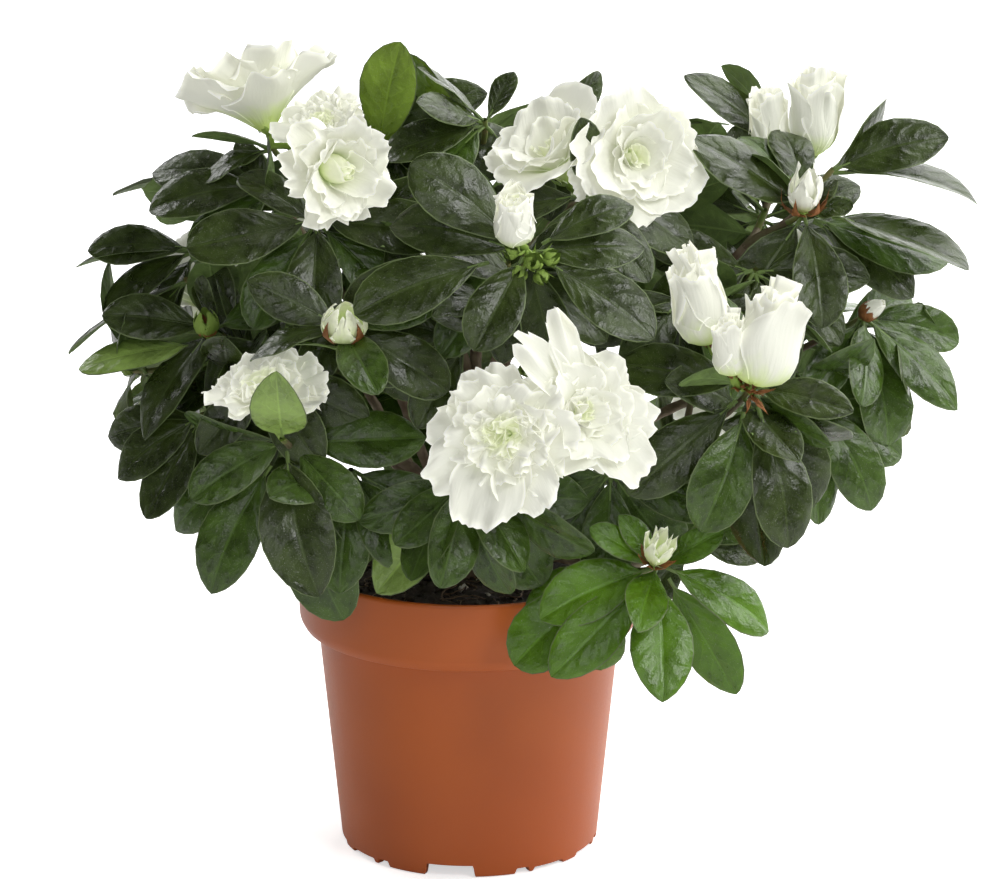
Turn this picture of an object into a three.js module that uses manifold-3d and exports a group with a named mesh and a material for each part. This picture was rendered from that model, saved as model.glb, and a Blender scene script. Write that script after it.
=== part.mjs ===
// A white azalea in a plastic nursery pot: the pot, its root ball, the stem, the boughs and the masses of foliage.
// Millimetres, +Z up. The origin is on the pot's axis, on the surface that the pot stands on.
// The front of the plant, with its largest pair of blooms, faces -Y, and +X is to the right of it.
import * as THREE from "three";
import { mergeVertices } from "three/addons/utils/BufferGeometryUtils.js";
import Module from "manifold-3d";

const manifold = await Module();
manifold.setup();

// ---- Driving dimensions ----

const GAP = 0.3; // between pieces that touch

// Pot: a tapering cup with a stepped-out rim band, standing on a notched foot ring and a round hub.
const POT_HEIGHT = 104;
const RIM_RADIUS = 60;
const BAND_HEIGHT = 24;
const BAND_TAPER = 0.7;
const BODY_RADIUS = 53;
const BASE_RADIUS = 45;
const WALL = 1.5;
const FLOOR_LEVEL = 5.5; // the underside of the raised floor
const HUB_RADIUS = 10;
const EDGE = 0.7; // small bevels
const POT_SIDES = 36;
const NOTCHES = 6;
const NOTCH_TURN = -97; // degrees, the bearing of the notch nearest the front
const NOTCH = { width: 17, height: 4.8 };
const SMALL_NOTCH = { width: 5, height: 1.8 };
const DRAIN = { radius: 4, ring: 27, sides: 12 };

// Root ball: damp peat that fills the pot to just under the rim.
const PEAT_LEVEL = 96;
const PEAT_ROUGHNESS = 1.1;
const PEAT_WAVE = { x: 5.1, y: 4.3 };
const PEAT_SIDES = 28;
const PEAT_FLAT_RADIUS = 16; // level ground round the stem
const PEAT_FADE = 8; // the width over which the roughness comes in

// Stem and boughs.
const FORK_HEIGHT = 124;
const STEM_RADIUS = { flare: 9, foot: 6.8, fork: 5 };
const STEM_FLARE_SHARE = 0.25; // of the stem's length
const STEM_LEAN = new THREE.Vector2(2.5, -1.5);
const STEM_STEPS = 6;
const BOUGH_RADIUS = { main: 2.5, side: 1.9, tip: 1.1 };
// A bough rises faster than it runs out: its share of the rise at two shares of its run.
const BOUGH_LEAVING = { run: 0.3, rise: 0.42 };
const BOUGH_ENTERING = { run: 0.68, rise: 0.8 };
const LIMB_SIDES = 7;
const BOUGH_STEPS = 6;

// Foliage: each mass has a bearing from the pot's axis (0 is the right, -90 the front), a distance from
// it, a height, and its half sizes outwards, sideways and upwards.
const MASS_DETAIL = 3;
const MASS_UNEVENNESS = 0.07;
const MASS_OVER_RIM = 2; // clear height between the rim and the masses over it
const MASS_BESIDE_RIM = 1; // clear width between the rim and the masses that hang past it
const HANGING_SHARE = 0.8; // a mass this share of its half size past the rim hangs beside the pot
const MASSES = {
  foliage_front_right_low: { bearing: -51, distance: 98, height: 118, out: 38, side: 44, up: 37 },
  foliage_front: { bearing: -95, distance: 83, height: 159, out: 43, side: 48, up: 41 },
  foliage_front_left_low: { bearing: -137, distance: 90, height: 141, out: 42, side: 42, up: 39 },
  foliage_left: { bearing: -172, distance: 93, height: 176, out: 45, side: 50, up: 40 },
  foliage_back_left_low: { bearing: 140, distance: 90, height: 150, out: 48, side: 50, up: 46 },
  foliage_back_low: { bearing: 95, distance: 90, height: 142, out: 48, side: 48, up: 44 },
  foliage_back_right_low: { bearing: 50, distance: 96, height: 148, out: 48, side: 48, up: 44 },
  foliage_right: { bearing: 3, distance: 122, height: 172, out: 46, side: 50, up: 38 },
  foliage_front_right: { bearing: -32, distance: 110, height: 164, out: 42, side: 46, up: 48 },
  foliage_front_high: { bearing: -74, distance: 66, height: 214, out: 42, side: 46, up: 36 },
  foliage_front_left_high: { bearing: -142, distance: 66, height: 218, out: 44, side: 44, up: 36 },
  foliage_left_high: { bearing: 165, distance: 94, height: 220, out: 44, side: 46, up: 34 },
  foliage_back_left_high: { bearing: 112, distance: 80, height: 212, out: 48, side: 50, up: 38 },
  foliage_back_right_high: { bearing: 52, distance: 86, height: 214, out: 48, side: 50, up: 38 },
  foliage_right_high: { bearing: -5, distance: 120, height: 236, out: 53, side: 48, up: 38 },
  foliage_top_left: { bearing: -176, distance: 62, height: 256, out: 50, side: 42, up: 40 },
  foliage_top: { bearing: 80, distance: 16, height: 256, out: 38, side: 40, up: 34 },
  foliage_top_right: { bearing: 6, distance: 58, height: 243, out: 42, side: 46, up: 36 },
};

// Boughs: where each one leaves its parent, as a share of the parent's length, and the mass it runs into.
const BOUGHS = {
  bough_front_right_low: { from: "stem", at: 0.42, into: "foliage_front_right_low" },
  bough_front: { from: "stem", at: 0.62, into: "foliage_front" },
  bough_front_left_low: { from: "stem", at: 0.4, into: "foliage_front_left_low" },
  bough_left: { from: "stem", at: 0.7, into: "foliage_left" },
  bough_back_left: { from: "stem", at: 0.45, into: "foliage_back_left_low" },
  bough_back: { from: "stem", at: 0.66, into: "foliage_back_low" },
  bough_back_right: { from: "stem", at: 0.4, into: "foliage_back_right_low" },
  bough_right: { from: "stem", at: 0.68, into: "foliage_right" },
  bough_leader: { from: "stem", at: 0.93, into: "foliage_top" },
  bough_front_right: { from: "bough_right", at: 0.24, into: "foliage_front_right" },
  bough_front_high: { from: "bough_front", at: 0.28, into: "foliage_front_high" },
  bough_front_left_high: { from: "bough_left", at: 0.16, into: "foliage_front_left_high" },
  bough_left_high: { from: "bough_back_left", at: 0.28, into: "foliage_left_high" },
  bough_back_left_high: { from: "bough_back", at: 0.3, into: "foliage_back_left_high" },
  bough_back_right_high: { from: "bough_leader", at: 0.2, into: "foliage_back_right_high" },
  bough_right_high: { from: "bough_right", at: 0.4, into: "foliage_right_high" },
  bough_top_left: { from: "bough_leader", at: 0.32, into: "foliage_top_left" },
  bough_top_right: { from: "bough_leader", at: 0.45, into: "foliage_top_right" },
};

// ---- Materials ----

const finish = (color, roughness) => new THREE.MeshStandardMaterial({ color, roughness, metalness: 0 });
const POT_FINISH = finish(0xa9573a, 0.42);
const PEAT_FINISH = finish(0x2b211b, 0.95);
const BARK_FINISH = finish(0x6b5240, 0.8);
const LEAF_FINISH = finish(0x36472f, 0.5);

// ---- Solids and geometry ----

/** A closed three.js geometry as a solid that can be joined and cut. */
function solidOf(geometry) {
  const bare = new THREE.BufferGeometry();
  bare.setAttribute("position", geometry.getAttribute("position"));
  bare.setIndex(geometry.index);
  const merged = mergeVertices(bare, 1e-4);
  return new manifold.Manifold(new manifold.Mesh({
    numProp: 3,
    vertProperties: merged.attributes.position.array,
    triVerts: new Uint32Array(merged.index.array),
  }));
}

/** A solid as a three.js geometry. */
function geometryOf(solid) {
  const mesh = solid.getMesh();
  const geometry = new THREE.BufferGeometry();
  geometry.setAttribute("position", new THREE.BufferAttribute(mesh.vertProperties, 3));
  geometry.setIndex(new THREE.BufferAttribute(mesh.triVerts, 1));
  geometry.computeVertexNormals();
  return geometry;
}

/** A profile of [radius, height] points turned round the Z axis. */
function turned(profile, sides) {
  const points = profile.map(([radius, height]) => new THREE.Vector2(radius, height));
  return new THREE.LatheGeometry(points, sides).rotateX(Math.PI / 2);
}

/** A geometry moved out from the Z axis on a bearing in degrees. */
function atBearing(geometry, bearing, radius, height) {
  return geometry.translate(radius, 0, height).rotateZ(THREE.MathUtils.degToRad(bearing));
}

/** A smooth unevenness from -1 to 1 that differs with the seed. */
function unevenness(direction, seed) {
  const { x, y, z } = direction;
  const wave = (a, b, c, phase) => Math.sin(a * x + b * y + c * z + phase * seed);
  return (wave(3.1, 1.7, -2.3, 1.3) + wave(-2.2, 4.3, 1.9, 2.1) + wave(1.4, -2.6, 4.7, 3.7)) / 3;
}

// ---- Pot ----

function pot() {
  const bandLevel = POT_HEIGHT - BAND_HEIGHT;
  const bandRadius = RIM_RADIUS - BAND_TAPER;
  const profile = [
    [0, 0],
    [HUB_RADIUS, 0],
    [HUB_RADIUS + EDGE, FLOOR_LEVEL],
    [BASE_RADIUS - 2 * WALL, FLOOR_LEVEL],
    [BASE_RADIUS - 2 * WALL, 0],
    [BASE_RADIUS - EDGE, 0],
    [BASE_RADIUS, EDGE],
    [BODY_RADIUS, bandLevel],
    [bandRadius - EDGE, bandLevel],
    [bandRadius, bandLevel + EDGE],
    [RIM_RADIUS, POT_HEIGHT - EDGE],
    [RIM_RADIUS - EDGE, POT_HEIGHT],
    [RIM_RADIUS - WALL, POT_HEIGHT],
    [bandRadius - WALL, bandLevel + WALL],
    [BODY_RADIUS - WALL, bandLevel + WALL],
    [BASE_RADIUS - WALL, FLOOR_LEVEL + WALL],
    [0, FLOOR_LEVEL + WALL],
  ];
  let solid = solidOf(turned(profile, POT_SIDES));
  for (let i = 0; i < NOTCHES; i++) {
    const turn = NOTCH_TURN + (i * 360) / NOTCHES;
    const small = turn + 180 / NOTCHES;
    const depth = 6 * WALL;
    const wide = new THREE.BoxGeometry(depth, NOTCH.width, 2 * NOTCH.height);
    const narrow = new THREE.BoxGeometry(depth, SMALL_NOTCH.width, 2 * SMALL_NOTCH.height);
    const drain = new THREE.CylinderGeometry(DRAIN.radius, DRAIN.radius, 4 * WALL, DRAIN.sides);
    drain.rotateX(Math.PI / 2);
    solid = solid.subtract(solidOf(atBearing(wide, turn, BASE_RADIUS, 0)));
    solid = solid.subtract(solidOf(atBearing(narrow, small, BASE_RADIUS, 0)));
    solid = solid.subtract(solidOf(atBearing(drain, turn, DRAIN.ring, FLOOR_LEVEL)));
  }
  return geometryOf(solid);
}

// ---- Root ball ----

/** The height of the peat over its level, which is none round the stem and at the pot's wall. */
function peatRise(x, y, edge) {
  const radius = Math.hypot(x, y);
  const open = THREE.MathUtils.smoothstep(radius, PEAT_FLAT_RADIUS, PEAT_FLAT_RADIUS + PEAT_FADE);
  const rim = 1 - THREE.MathUtils.smoothstep(radius, edge - PEAT_FADE, edge);
  return PEAT_ROUGHNESS * open * rim * Math.sin(x / PEAT_WAVE.x + 1) * Math.cos(y / PEAT_WAVE.y);
}

function rootBall() {
  const bandLevel = POT_HEIGHT - BAND_HEIGHT;
  const clear = WALL + 2 * GAP;
  const underside = FLOOR_LEVEL + WALL + GAP;
  const top = RIM_RADIUS - BAND_TAPER - clear;
  const profile = [
    [0, underside],
    [BASE_RADIUS - clear, underside],
    [BODY_RADIUS - clear, bandLevel + WALL + GAP],
    [top, bandLevel + WALL + GAP],
    [top, PEAT_LEVEL],
    [top - PEAT_FADE, PEAT_LEVEL],
    [top - 2 * PEAT_FADE, PEAT_LEVEL],
    [PEAT_FLAT_RADIUS + PEAT_FADE, PEAT_LEVEL],
    [PEAT_FLAT_RADIUS, PEAT_LEVEL],
    [0, PEAT_LEVEL],
  ];
  const geometry = turned(profile, PEAT_SIDES);
  const position = geometry.getAttribute("position");
  for (let i = 0; i < position.count; i++) {
    if (position.getZ(i) < PEAT_LEVEL - GAP) continue;
    position.setZ(i, PEAT_LEVEL + peatRise(position.getX(i), position.getY(i), top));
  }
  return geometryOf(solidOf(geometry));
}

// ---- Stem and boughs ----

/** A closed round limb along a curve, with its radius given at each share of the length, grown all round. */
function limb(curve, radiusAt, steps, grow = 0) {
  const frames = curve.computeFrenetFrames(steps);
  const positions = [];
  const triangles = [];
  for (let i = 0; i <= steps; i++) {
    const centre = curve.getPointAt(i / steps);
    if (i === 0) centre.addScaledVector(frames.tangents[i], -grow);
    if (i === steps) centre.addScaledVector(frames.tangents[i], grow);
    const radius = radiusAt(i / steps) + grow;
    for (let j = 0; j < LIMB_SIDES; j++) {
      const angle = (2 * Math.PI * j) / LIMB_SIDES;
      const point = centre.clone()
        .addScaledVector(frames.normals[i], radius * Math.cos(angle))
        .addScaledVector(frames.binormals[i], radius * Math.sin(angle));
      positions.push(point.x, point.y, point.z);
    }
  }
  for (let i = 0; i < steps; i++) {
    for (let j = 0; j < LIMB_SIDES; j++) {
      const a = i * LIMB_SIDES + j;
      const b = i * LIMB_SIDES + ((j + 1) % LIMB_SIDES);
      triangles.push(a, b, b + LIMB_SIDES, a, b + LIMB_SIDES, a + LIMB_SIDES);
    }
  }
  const last = steps * LIMB_SIDES;
  for (let j = 1; j < LIMB_SIDES - 1; j++) {
    triangles.push(0, j + 1, j, last, last + j, last + j + 1);
  }
  const geometry = new THREE.BufferGeometry();
  geometry.setAttribute("position", new THREE.Float32BufferAttribute(positions, 3));
  geometry.setIndex(triangles);
  return geometry;
}

const stemCurve = new THREE.CatmullRomCurve3([
  new THREE.Vector3(0, 0, PEAT_LEVEL + GAP),
  new THREE.Vector3(0, 0, PEAT_LEVEL + 6),
  new THREE.Vector3(STEM_LEAN.x / 2, STEM_LEAN.y / 2, (PEAT_LEVEL + FORK_HEIGHT) / 2 + 3),
  new THREE.Vector3(STEM_LEAN.x, STEM_LEAN.y, FORK_HEIGHT),
]);

/** The stem's radius: a short root flare at the foot, then an even taper. */
function stemRadius(share) {
  const flare = (STEM_RADIUS.flare - STEM_RADIUS.foot) * Math.max(0, 1 - share / STEM_FLARE_SHARE) ** 2;
  return THREE.MathUtils.lerp(STEM_RADIUS.foot, STEM_RADIUS.fork, share) + flare;
}

const stem = (grow = 0) => limb(stemCurve, stemRadius, STEM_STEPS, grow);

const massCentre = ({ bearing, distance, height }) => {
  const turn = THREE.MathUtils.degToRad(bearing);
  return new THREE.Vector3(distance * Math.cos(turn), distance * Math.sin(turn), height);
};

/** Every bough's curve and radius, each parent before its own side boughs. */
function boughCurves() {
  const curves = new Map([["stem", stemCurve]]);
  for (const [name, { from, at, into }] of Object.entries(BOUGHS)) {
    const start = curves.get(from).getPointAt(at);
    const end = massCentre(MASSES[into]);
    const run = end.clone().sub(start);
    const leaving = start.clone().addScaledVector(run, BOUGH_LEAVING.run);
    leaving.z = THREE.MathUtils.lerp(start.z, end.z, BOUGH_LEAVING.rise);
    const entering = start.clone().addScaledVector(run, BOUGH_ENTERING.run);
    entering.z = THREE.MathUtils.lerp(start.z, end.z, BOUGH_ENTERING.rise);
    curves.set(name, new THREE.CatmullRomCurve3([start, leaving, entering, end]));
  }
  return curves;
}

/** The radius along a bough that leaves the stem, or a thinner side bough. */
const boughRadius = (from) => (share) =>
  THREE.MathUtils.lerp(from === "stem" ? BOUGH_RADIUS.main : BOUGH_RADIUS.side, BOUGH_RADIUS.tip, share);

// ---- Foliage ----

/** The planes that hold a mass in: halfway to each neighbour, and clear of the pot. */
function boundsOf(name) {
  const centre = massCentre(MASSES[name]);
  const planes = [];
  for (const [other, mass] of Object.entries(MASSES)) {
    if (other === name) continue;
    const away = massCentre(mass).sub(centre);
    const own = (MASSES[name].out + MASSES[name].side + MASSES[name].up) / 3;
    const theirs = (mass.out + mass.side + mass.up) / 3;
    const share = own / (own + theirs);
    planes.push({ normal: away.clone().normalize(), limit: away.length() * share - GAP / 2 });
  }
  const outward = new THREE.Vector3(centre.x, centre.y, 0);
  const distance = outward.length();
  if (distance > RIM_RADIUS + MASSES[name].out * HANGING_SHARE) {
    const inward = outward.normalize().negate();
    planes.push({ normal: inward, limit: distance - RIM_RADIUS - MASS_BESIDE_RIM });
  } else {
    planes.push({ normal: new THREE.Vector3(0, 0, -1), limit: centre.z - POT_HEIGHT - MASS_OVER_RIM });
  }
  return planes;
}

/** One mass of foliage: an uneven ellipsoid, cut flat where it meets its neighbours. */
function foliageMass(name, seed, grow = 0) {
  const mass = MASSES[name];
  const planes = boundsOf(name);
  const turn = THREE.MathUtils.degToRad(mass.bearing);
  const geometry = mergeVertices(new THREE.IcosahedronGeometry(1, MASS_DETAIL).deleteAttribute("uv")
    .deleteAttribute("normal"), 1e-4);
  const position = geometry.getAttribute("position");
  const direction = new THREE.Vector3();
  for (let i = 0; i < position.count; i++) {
    direction.fromBufferAttribute(position, i).normalize();
    const own = direction.clone().applyAxisAngle(new THREE.Vector3(0, 0, 1), -turn);
    const smooth = 1 / Math.hypot(own.x / mass.out, own.y / mass.side, own.z / mass.up);
    let reach = smooth * (1 + MASS_UNEVENNESS * unevenness(direction, seed));
    for (const { normal, limit } of planes) {
      const facing = direction.dot(normal);
      if (facing > 1e-6) reach = Math.min(reach, limit / facing);
    }
    position.setXYZ(i, ...direction.multiplyScalar(reach + grow).toArray());
  }
  return geometry.translate(...massCentre(mass).toArray());
}

// ---- The plant ----

const plant = new THREE.Group();
plant.name = "potted_azalea";

function add(name, geometry, material) {
  const mesh = new THREE.Mesh(geometry, material);
  mesh.name = name;
  plant.add(mesh);
}

add("pot", pot(), POT_FINISH);
add("root_ball", rootBall(), PEAT_FINISH);
add("stem", stem(), BARK_FINISH);

const curves = boughCurves();
const massNames = Object.keys(MASSES);
for (const [name, { from, into }] of Object.entries(BOUGHS)) {
  const whole = solidOf(limb(curves.get(name), boughRadius(from), BOUGH_STEPS));
  const parent = from === "stem"
    ? stem(GAP)
    : limb(curves.get(from), boughRadius(BOUGHS[from].from), BOUGH_STEPS, GAP);
  const mass = foliageMass(into, massNames.indexOf(into), GAP);
  add(name, geometryOf(whole.subtract(solidOf(parent)).subtract(solidOf(mass))), BARK_FINISH);
}
massNames.forEach((name, seed) => add(name, foliageMass(name, seed), LEAF_FINISH));

export default plant;
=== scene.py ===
"""A white double azalea in a plastic nursery pot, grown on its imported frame."""

import functools
import math
import zlib

import bpy
import numpy as np
from bpy.props import FloatProperty, FloatVectorProperty, IntProperty, PointerProperty
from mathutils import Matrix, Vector


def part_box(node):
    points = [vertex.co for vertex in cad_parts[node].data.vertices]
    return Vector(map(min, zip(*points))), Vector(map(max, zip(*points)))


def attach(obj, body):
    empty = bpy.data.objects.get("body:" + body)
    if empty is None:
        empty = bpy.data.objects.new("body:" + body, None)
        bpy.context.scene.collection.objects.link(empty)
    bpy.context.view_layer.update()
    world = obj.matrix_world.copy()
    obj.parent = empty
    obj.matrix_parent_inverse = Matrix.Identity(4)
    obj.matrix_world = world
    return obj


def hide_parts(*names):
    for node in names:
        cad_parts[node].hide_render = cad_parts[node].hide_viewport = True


bl_info = {
    "name": "Potted azalea",
    "version": (1, 0, 0),
    "blender": (4, 5, 0),
    "location": "View3D > Sidebar > Azalea",
    "description": "Grows the leaves, blooms, wood, peat and pot of a white azalea on its frame",
    "category": "Object",
}

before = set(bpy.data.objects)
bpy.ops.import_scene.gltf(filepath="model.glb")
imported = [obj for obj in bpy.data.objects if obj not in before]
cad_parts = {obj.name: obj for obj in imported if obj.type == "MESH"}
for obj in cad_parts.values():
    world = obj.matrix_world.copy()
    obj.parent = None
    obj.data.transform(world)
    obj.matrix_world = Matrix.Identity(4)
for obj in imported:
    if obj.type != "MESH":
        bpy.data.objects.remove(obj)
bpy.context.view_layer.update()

MM = 0.001  # the frame is in metres, and the sizes below are in millimetres
SEED = 7

# ---- Where the plant's shoots and blooms are ----
#
# Each shoot: its tip, as (right, back, up) from the middle of its mass, and the way that it points, as a
# bearing (0 is the right, -90 the front) and a rise. Then its tint and its leaves, each with its clock angle
# as seen from the front (0 is the right, 90 up), its lean towards the front and its length. Some have a roll
# about their own midline, and a distance from the shoot's tip to their foot.

SHOOTS = {
    "foliage_front_right_low": [
        ((2, 2, 7), (-80, 40), "fresh", (
            (336, 0, 40, 0, 3), (308, -10, 42, 60, 6), (272, 25, 40, 0, 5), (227, 5, 42, 0, 6),
            (245, 58, 32, 0, 1), (197, 5, 38, 0, 2), (31, 20, 24), (149, 10, 24), (119, 10, 20))),
        ((-14, 10, 1), (-100, 20), "fresh", ((222, 5, 42), (262, -20, 34), (200, -20, 30))),
        ((15, 47, 0), (-60, 30), "mid", (
            (350, -5, 24), (20, 0, 26), (60, 0, 28), (105, 0, 26), (230, 0, 30))),
    ],
    "foliage_front": [
        ((6, 12, -7), (-92, 15), "mid", (
            (235, 15, 36, 40), (255, 30, 36, -25), (222, 25, 32), (285, 0, 38, 30), (300, 22, 34, -30),
            (303, -10, 42), (331, 10, 38, 35, 8), (205, 0, 36), (345, -10, 38))),
        ((6, 16, -7), (-92, 15), "pale", ((237, -8, 46, 30),)),
    ],
    "foliage_front_left_low": [
        ((5, 2, 20), (-105, 25), "mid", (
            (276, 12, 47, 0, 4), (283, -10, 46, 0, 16), (238, 0, 45, 0, 10), (212, -8, 40, 0, 10),
            (207, 12, 35), (178, -5, 34, -80), (314, 30, 32, 0, 4), (0, 5, 40, 0, 3))),
        ((27, 6, 8), (-85, 10), "mid", ((262, 10, 38), (300, 15, 36), (330, 5, 36), (240, -10, 36))),
        ((5, -21, 27), (-90, 20), "pale", ((90, 71, 37),)),
    ],
    "foliage_left": [
        ((5, -11, 16), (-130, 30), "deep", (
            (170, 5, 34), (235, 22, 42), (320, 10, 34), (20, 10, 32), (100, 30, 20), (285, -5, 36))),
        ((-4, 4, 29), (-130, 30), "deep", ((207, 0, 44, 45), (222, -12, 30))),
        ((0, -14, 11), (-130, 30), "pale", ((186, 5, 37, 22),)),
        ((2, -26, -11), (-130, 10), "deep", ((210, 0, 34), (245, 5, 36), (190, -20, 36), (275, 10, 34))),
        ((24, -38, 8), (-105, 20), "deep", ((235, -5, 32), (300, 0, 34), (335, 0, 36), (265, -15, 34))),
    ],
    "foliage_left_high": [
        ((-4, -26, -7), (-140, 35), "deep", (
            (172, 0, 33, 20), (189, -10, 38, 45), (204, 12, 36), (298, 20, 34), (80, 30, 16),
            (240, -10, 34))),
    ],
    "foliage_front_left_high": [
        ((10, -33, -10), (-95, 35), "deep", (
            (192, 15, 30, 40), (298, 48, 34), (330, 0, 38), (20, 10, 32), (150, 0, 32))),
        ((12, -30, -19), (-95, 35), "young", ((174, 5, 27, 65),)),
        ((-15, 22, 24), (-115, 45), "deep", (
            (185, 5, 39), (163, -15, 42), (183, -28, 44, 150), (105, 60, 30), (130, -10, 20), (215, 10, 34))),
        ((1, -3, 19), (-95, 50), "deep", (
            (197, 16, 41), (354, 10, 40), (268, 22, 36), (236, 5, 38), (17, -5, 40, 70), (318, 10, 36),
            (140, 0, 30))),
    ],
    "foliage_top_left": [
        ((34, 14, -1), (-95, 55), "deep", (
            (345, 0, 42, 0, 10), (300, 20, 36), (250, 15, 34), (20, 0, 36), (325, 25, 36))),
        ((34, 12, -13), (-95, 60), "young", ((79, 22, 40, 0, 1),)),
        ((-1, -13, -3), (-120, 60), "deep", ((161, 10, 25, 50), (200, 0, 24))),
    ],
    "foliage_top": [
        ((4, -16, 2), (-100, 50), "deep", (
            (138, 5, 27, 60), (160, 40, 28), (60, 0, 18), (200, 10, 34), (225, 20, 36), (310, 10, 36))),
        ((-1, -14, 0), (-100, 60), "young", ((134, -5, 31, -74, 1),)),
    ],
    "foliage_front_high": [
        ((0, -12, 18), (-88, 45), "deep", (
            (199, 5, 44, 0, 13), (245, 30, 35, 0, 3), (331, 10, 41, 0, 7), (27, 0, 31, 0, 6), (3, -10, 36),
            (138, 8, 42, 0, 3), (163, -10, 42, 0, 2), (285, -15, 38))),
        ((-6, 8, 8), (-90, 50), "deep", (
            (160, 0, 36), (200, 0, 36), (235, 5, 34), (270, 5, 30), (120, 0, 30), (20, 0, 34), (328, -5, 38),
            (302, 0, 36))),
        ((-19, 5, -18), (-92, 30), "deep", (
            (165, 0, 40), (195, 0, 36), (135, 0, 38), (100, 0, 34), (60, 0, 34), (20, -5, 36), (235, 0, 30))),
        ((20, 33, 27), (-80, 60), "deep", (
            (92, 25, 25, 20), (300, 20, 36), (340, 5, 38), (250, 15, 36), (196, 0, 34))),
    ],
    "foliage_top_right": [
        ((-31, 6, 13), (-90, 70), "deep", ((40, 0, 24, 78), (270, 0, 30), (200, 0, 28))),
    ],
    "foliage_right_high": [
        ((-11, -11, -3), (-70, 45), "deep", (
            (343, 10, 46, -24, 9), (150, 5, 42, 0, 2), (123, 0, 24, 75), (122, -18, 34, 0, 3), (45, 35, 16),
            (98, -24, 32, 0, 3), (12, 25, 16), (279, 18, 38), (339, -12, 46, 0, 4),
            (331, -5, 41, 0, 4), (235, 5, 36))),
        ((-2, -1, 8), (-40, 45), "deep", ((22, 0, 38), (351, 0, 47, -24), (40, -20, 34, 60))),
        ((-25, 25, -15), (-85, 40), "deep", (
            (155, 0, 36), (110, 0, 30), (70, 0, 34), (20, 0, 34), (335, 0, 34), (290, 0, 30), (200, 0, 36),
            (245, 0, 32))),
        ((-24, 14, -10), (-80, 50), "young", ((139, 5, 34, 40),)),
        ((-15, 39, 6), (-60, 60), "deep", ((145, 0, 40), (120, -20, 36, 60), (200, 0, 38), (60, -20, 30))),
    ],
    "foliage_right": [
        ((13, -18, 21), (-50, 30), "mid", (
            (322, 12, 42), (275, 45, 34), (285, 0, 41), (233, 22, 34), (355, -10, 34), (250, -10, 40))),
        ((-6, -30, -4), (-60, 10), "mid", ((305, 0, 42), (275, 5, 40), (330, -10, 38), (240, 10, 36))),
    ],
    "foliage_front_right": [
        ((1, -15, 21), (-80, 35), "deep", (
            (172, 0, 42, 0, 2), (168, 30, 27, 108), (349, 25, 33), (254, 10, 40, 0, 9), (289, 15, 45, 0, 7),
            (304, -10, 42), (222, -5, 44, 0, 6), (268, -15, 46, 0, 4), (278, -12, 50, 60, 6),
            (323, 0, 36, 80), (324, 10, 30, 70))),
        ((-20, 25, 42), (-80, 30), "deep", (
            (255, 0, 34), (285, 10, 36), (310, 0, 36), (230, 15, 34), (200, 0, 36), (340, 10, 36))),
        ((4, 33, 48), (-70, 40), "deep", (
            (200, 0, 36), (240, 10, 36), (285, 15, 36), (0, 0, 36), (330, 5, 36), (160, 0, 34))),
        ((-45, 5, -15), (-80, 15), "mid", (
            (200, 0, 36), (235, 5, 36), (268, 8, 36), (305, 0, 38), (340, 0, 38), (10, 0, 34))),
    ],
}

# Each bloom on the front: its mass, the middle of its mouth from the middle of the mass, the way that it
# faces as a bearing and a rise, its kind and its size. Some have outer petals of their own, each with its
# clock angle round the mouth, its length and its width.
BLOOMS = [
    ("foliage_front", (17, -26, 19), (-105, 8), "carnation", 0.95, (
        (216, 34, 22), (258, 37, 26), (303, 33, 22), (120, 28, 20))),
    ("foliage_front", (45, -15, 24), (-62, 20), "loose", 0.74, (
        (105, 43, 13), (132, 44, 15), (305, 35, 22), (345, 30, 22))),
    ("foliage_top_left", (-9, -9, 25), (142, 68), "open", 1.0),
    ("foliage_front_left_high", (12, -19, 39), (-55, 5), "cup", 0.72, (
        (140, 27, 20), (175, 27, 18), (240, 25, 17), (290, 23, 17))),
    ("foliage_front_left_high", (3, 8, 50), (-125, 50), "carnation", 0.6, ((200, 22, 17),)),
    ("foliage_top_right", (-34, -25, 16), (-140, 56), "funnel", 0.83),
    ("foliage_top_right", (1, -34, 11), (-66, 14), "funnel", 0.81, ((200, 31, 19), (265, 31, 20))),
    ("foliage_right_high", (-23, 33, 24), (-170, 84), "trumpet", 0.75),
    ("foliage_right_high", (-6, 33, 32), (0, 86), "trumpet", 0.95),
    ("foliage_front_right", (-20, -12, 63), (165, 76), "tulip", 0.95),
    ("foliage_front_right", (9, -25, 54), (20, 73), "tulip", 1.0),
    ("foliage_front_right", (-8, -31, 47), (-150, 84), "tulip", 0.6),
    ("foliage_front_left_low", (-1, -14, 44), (-105, 68), "carnation", 0.8, ((12, 25, 17), (340, 24, 16))),
    ("foliage_front_high", (-5, -24, 37), (-105, 62), "rosebud", 1.0),
]

# Each bud on the front: its mass, its foot from the middle of the mass, where it points, its kind and length.
BUDS = [
    ("foliage_front_high", (-3, -16, 17), (-150, 35), "green", 7),
    ("foliage_front_high", (-1, -16, 12), (-130, -30), "green", 7),
    ("foliage_front_high", (2, -18, 14), (-75, 40), "green", 8),
    ("foliage_front_high", (4, -16, 11), (-60, -35), "green", 6.5),
    ("foliage_front_high", (6, -16, 15), (-25, 30), "green", 7.5),
    ("foliage_front_left_high", (11, -37, -13), (-90, 70), "pale", 16),
    ("foliage_left", (5, -17, 14), (-120, 75), "sheathed", 12),
    ("foliage_right_high", (-13, -17, -3), (-80, 72), "white", 16),
    ("foliage_right", (11, -22, 22), (-30, 35), "scaled", 12),
    ("foliage_front_right_low", (0, -5, 9), (-60, 62), "opening", 14),
    ("foliage_front_right", (-3, -26, 23), (-75, 45), "husk", 9),
    ("foliage_front_right", (0, -27, 21), (-60, -10), "husk", 8),
]

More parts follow.
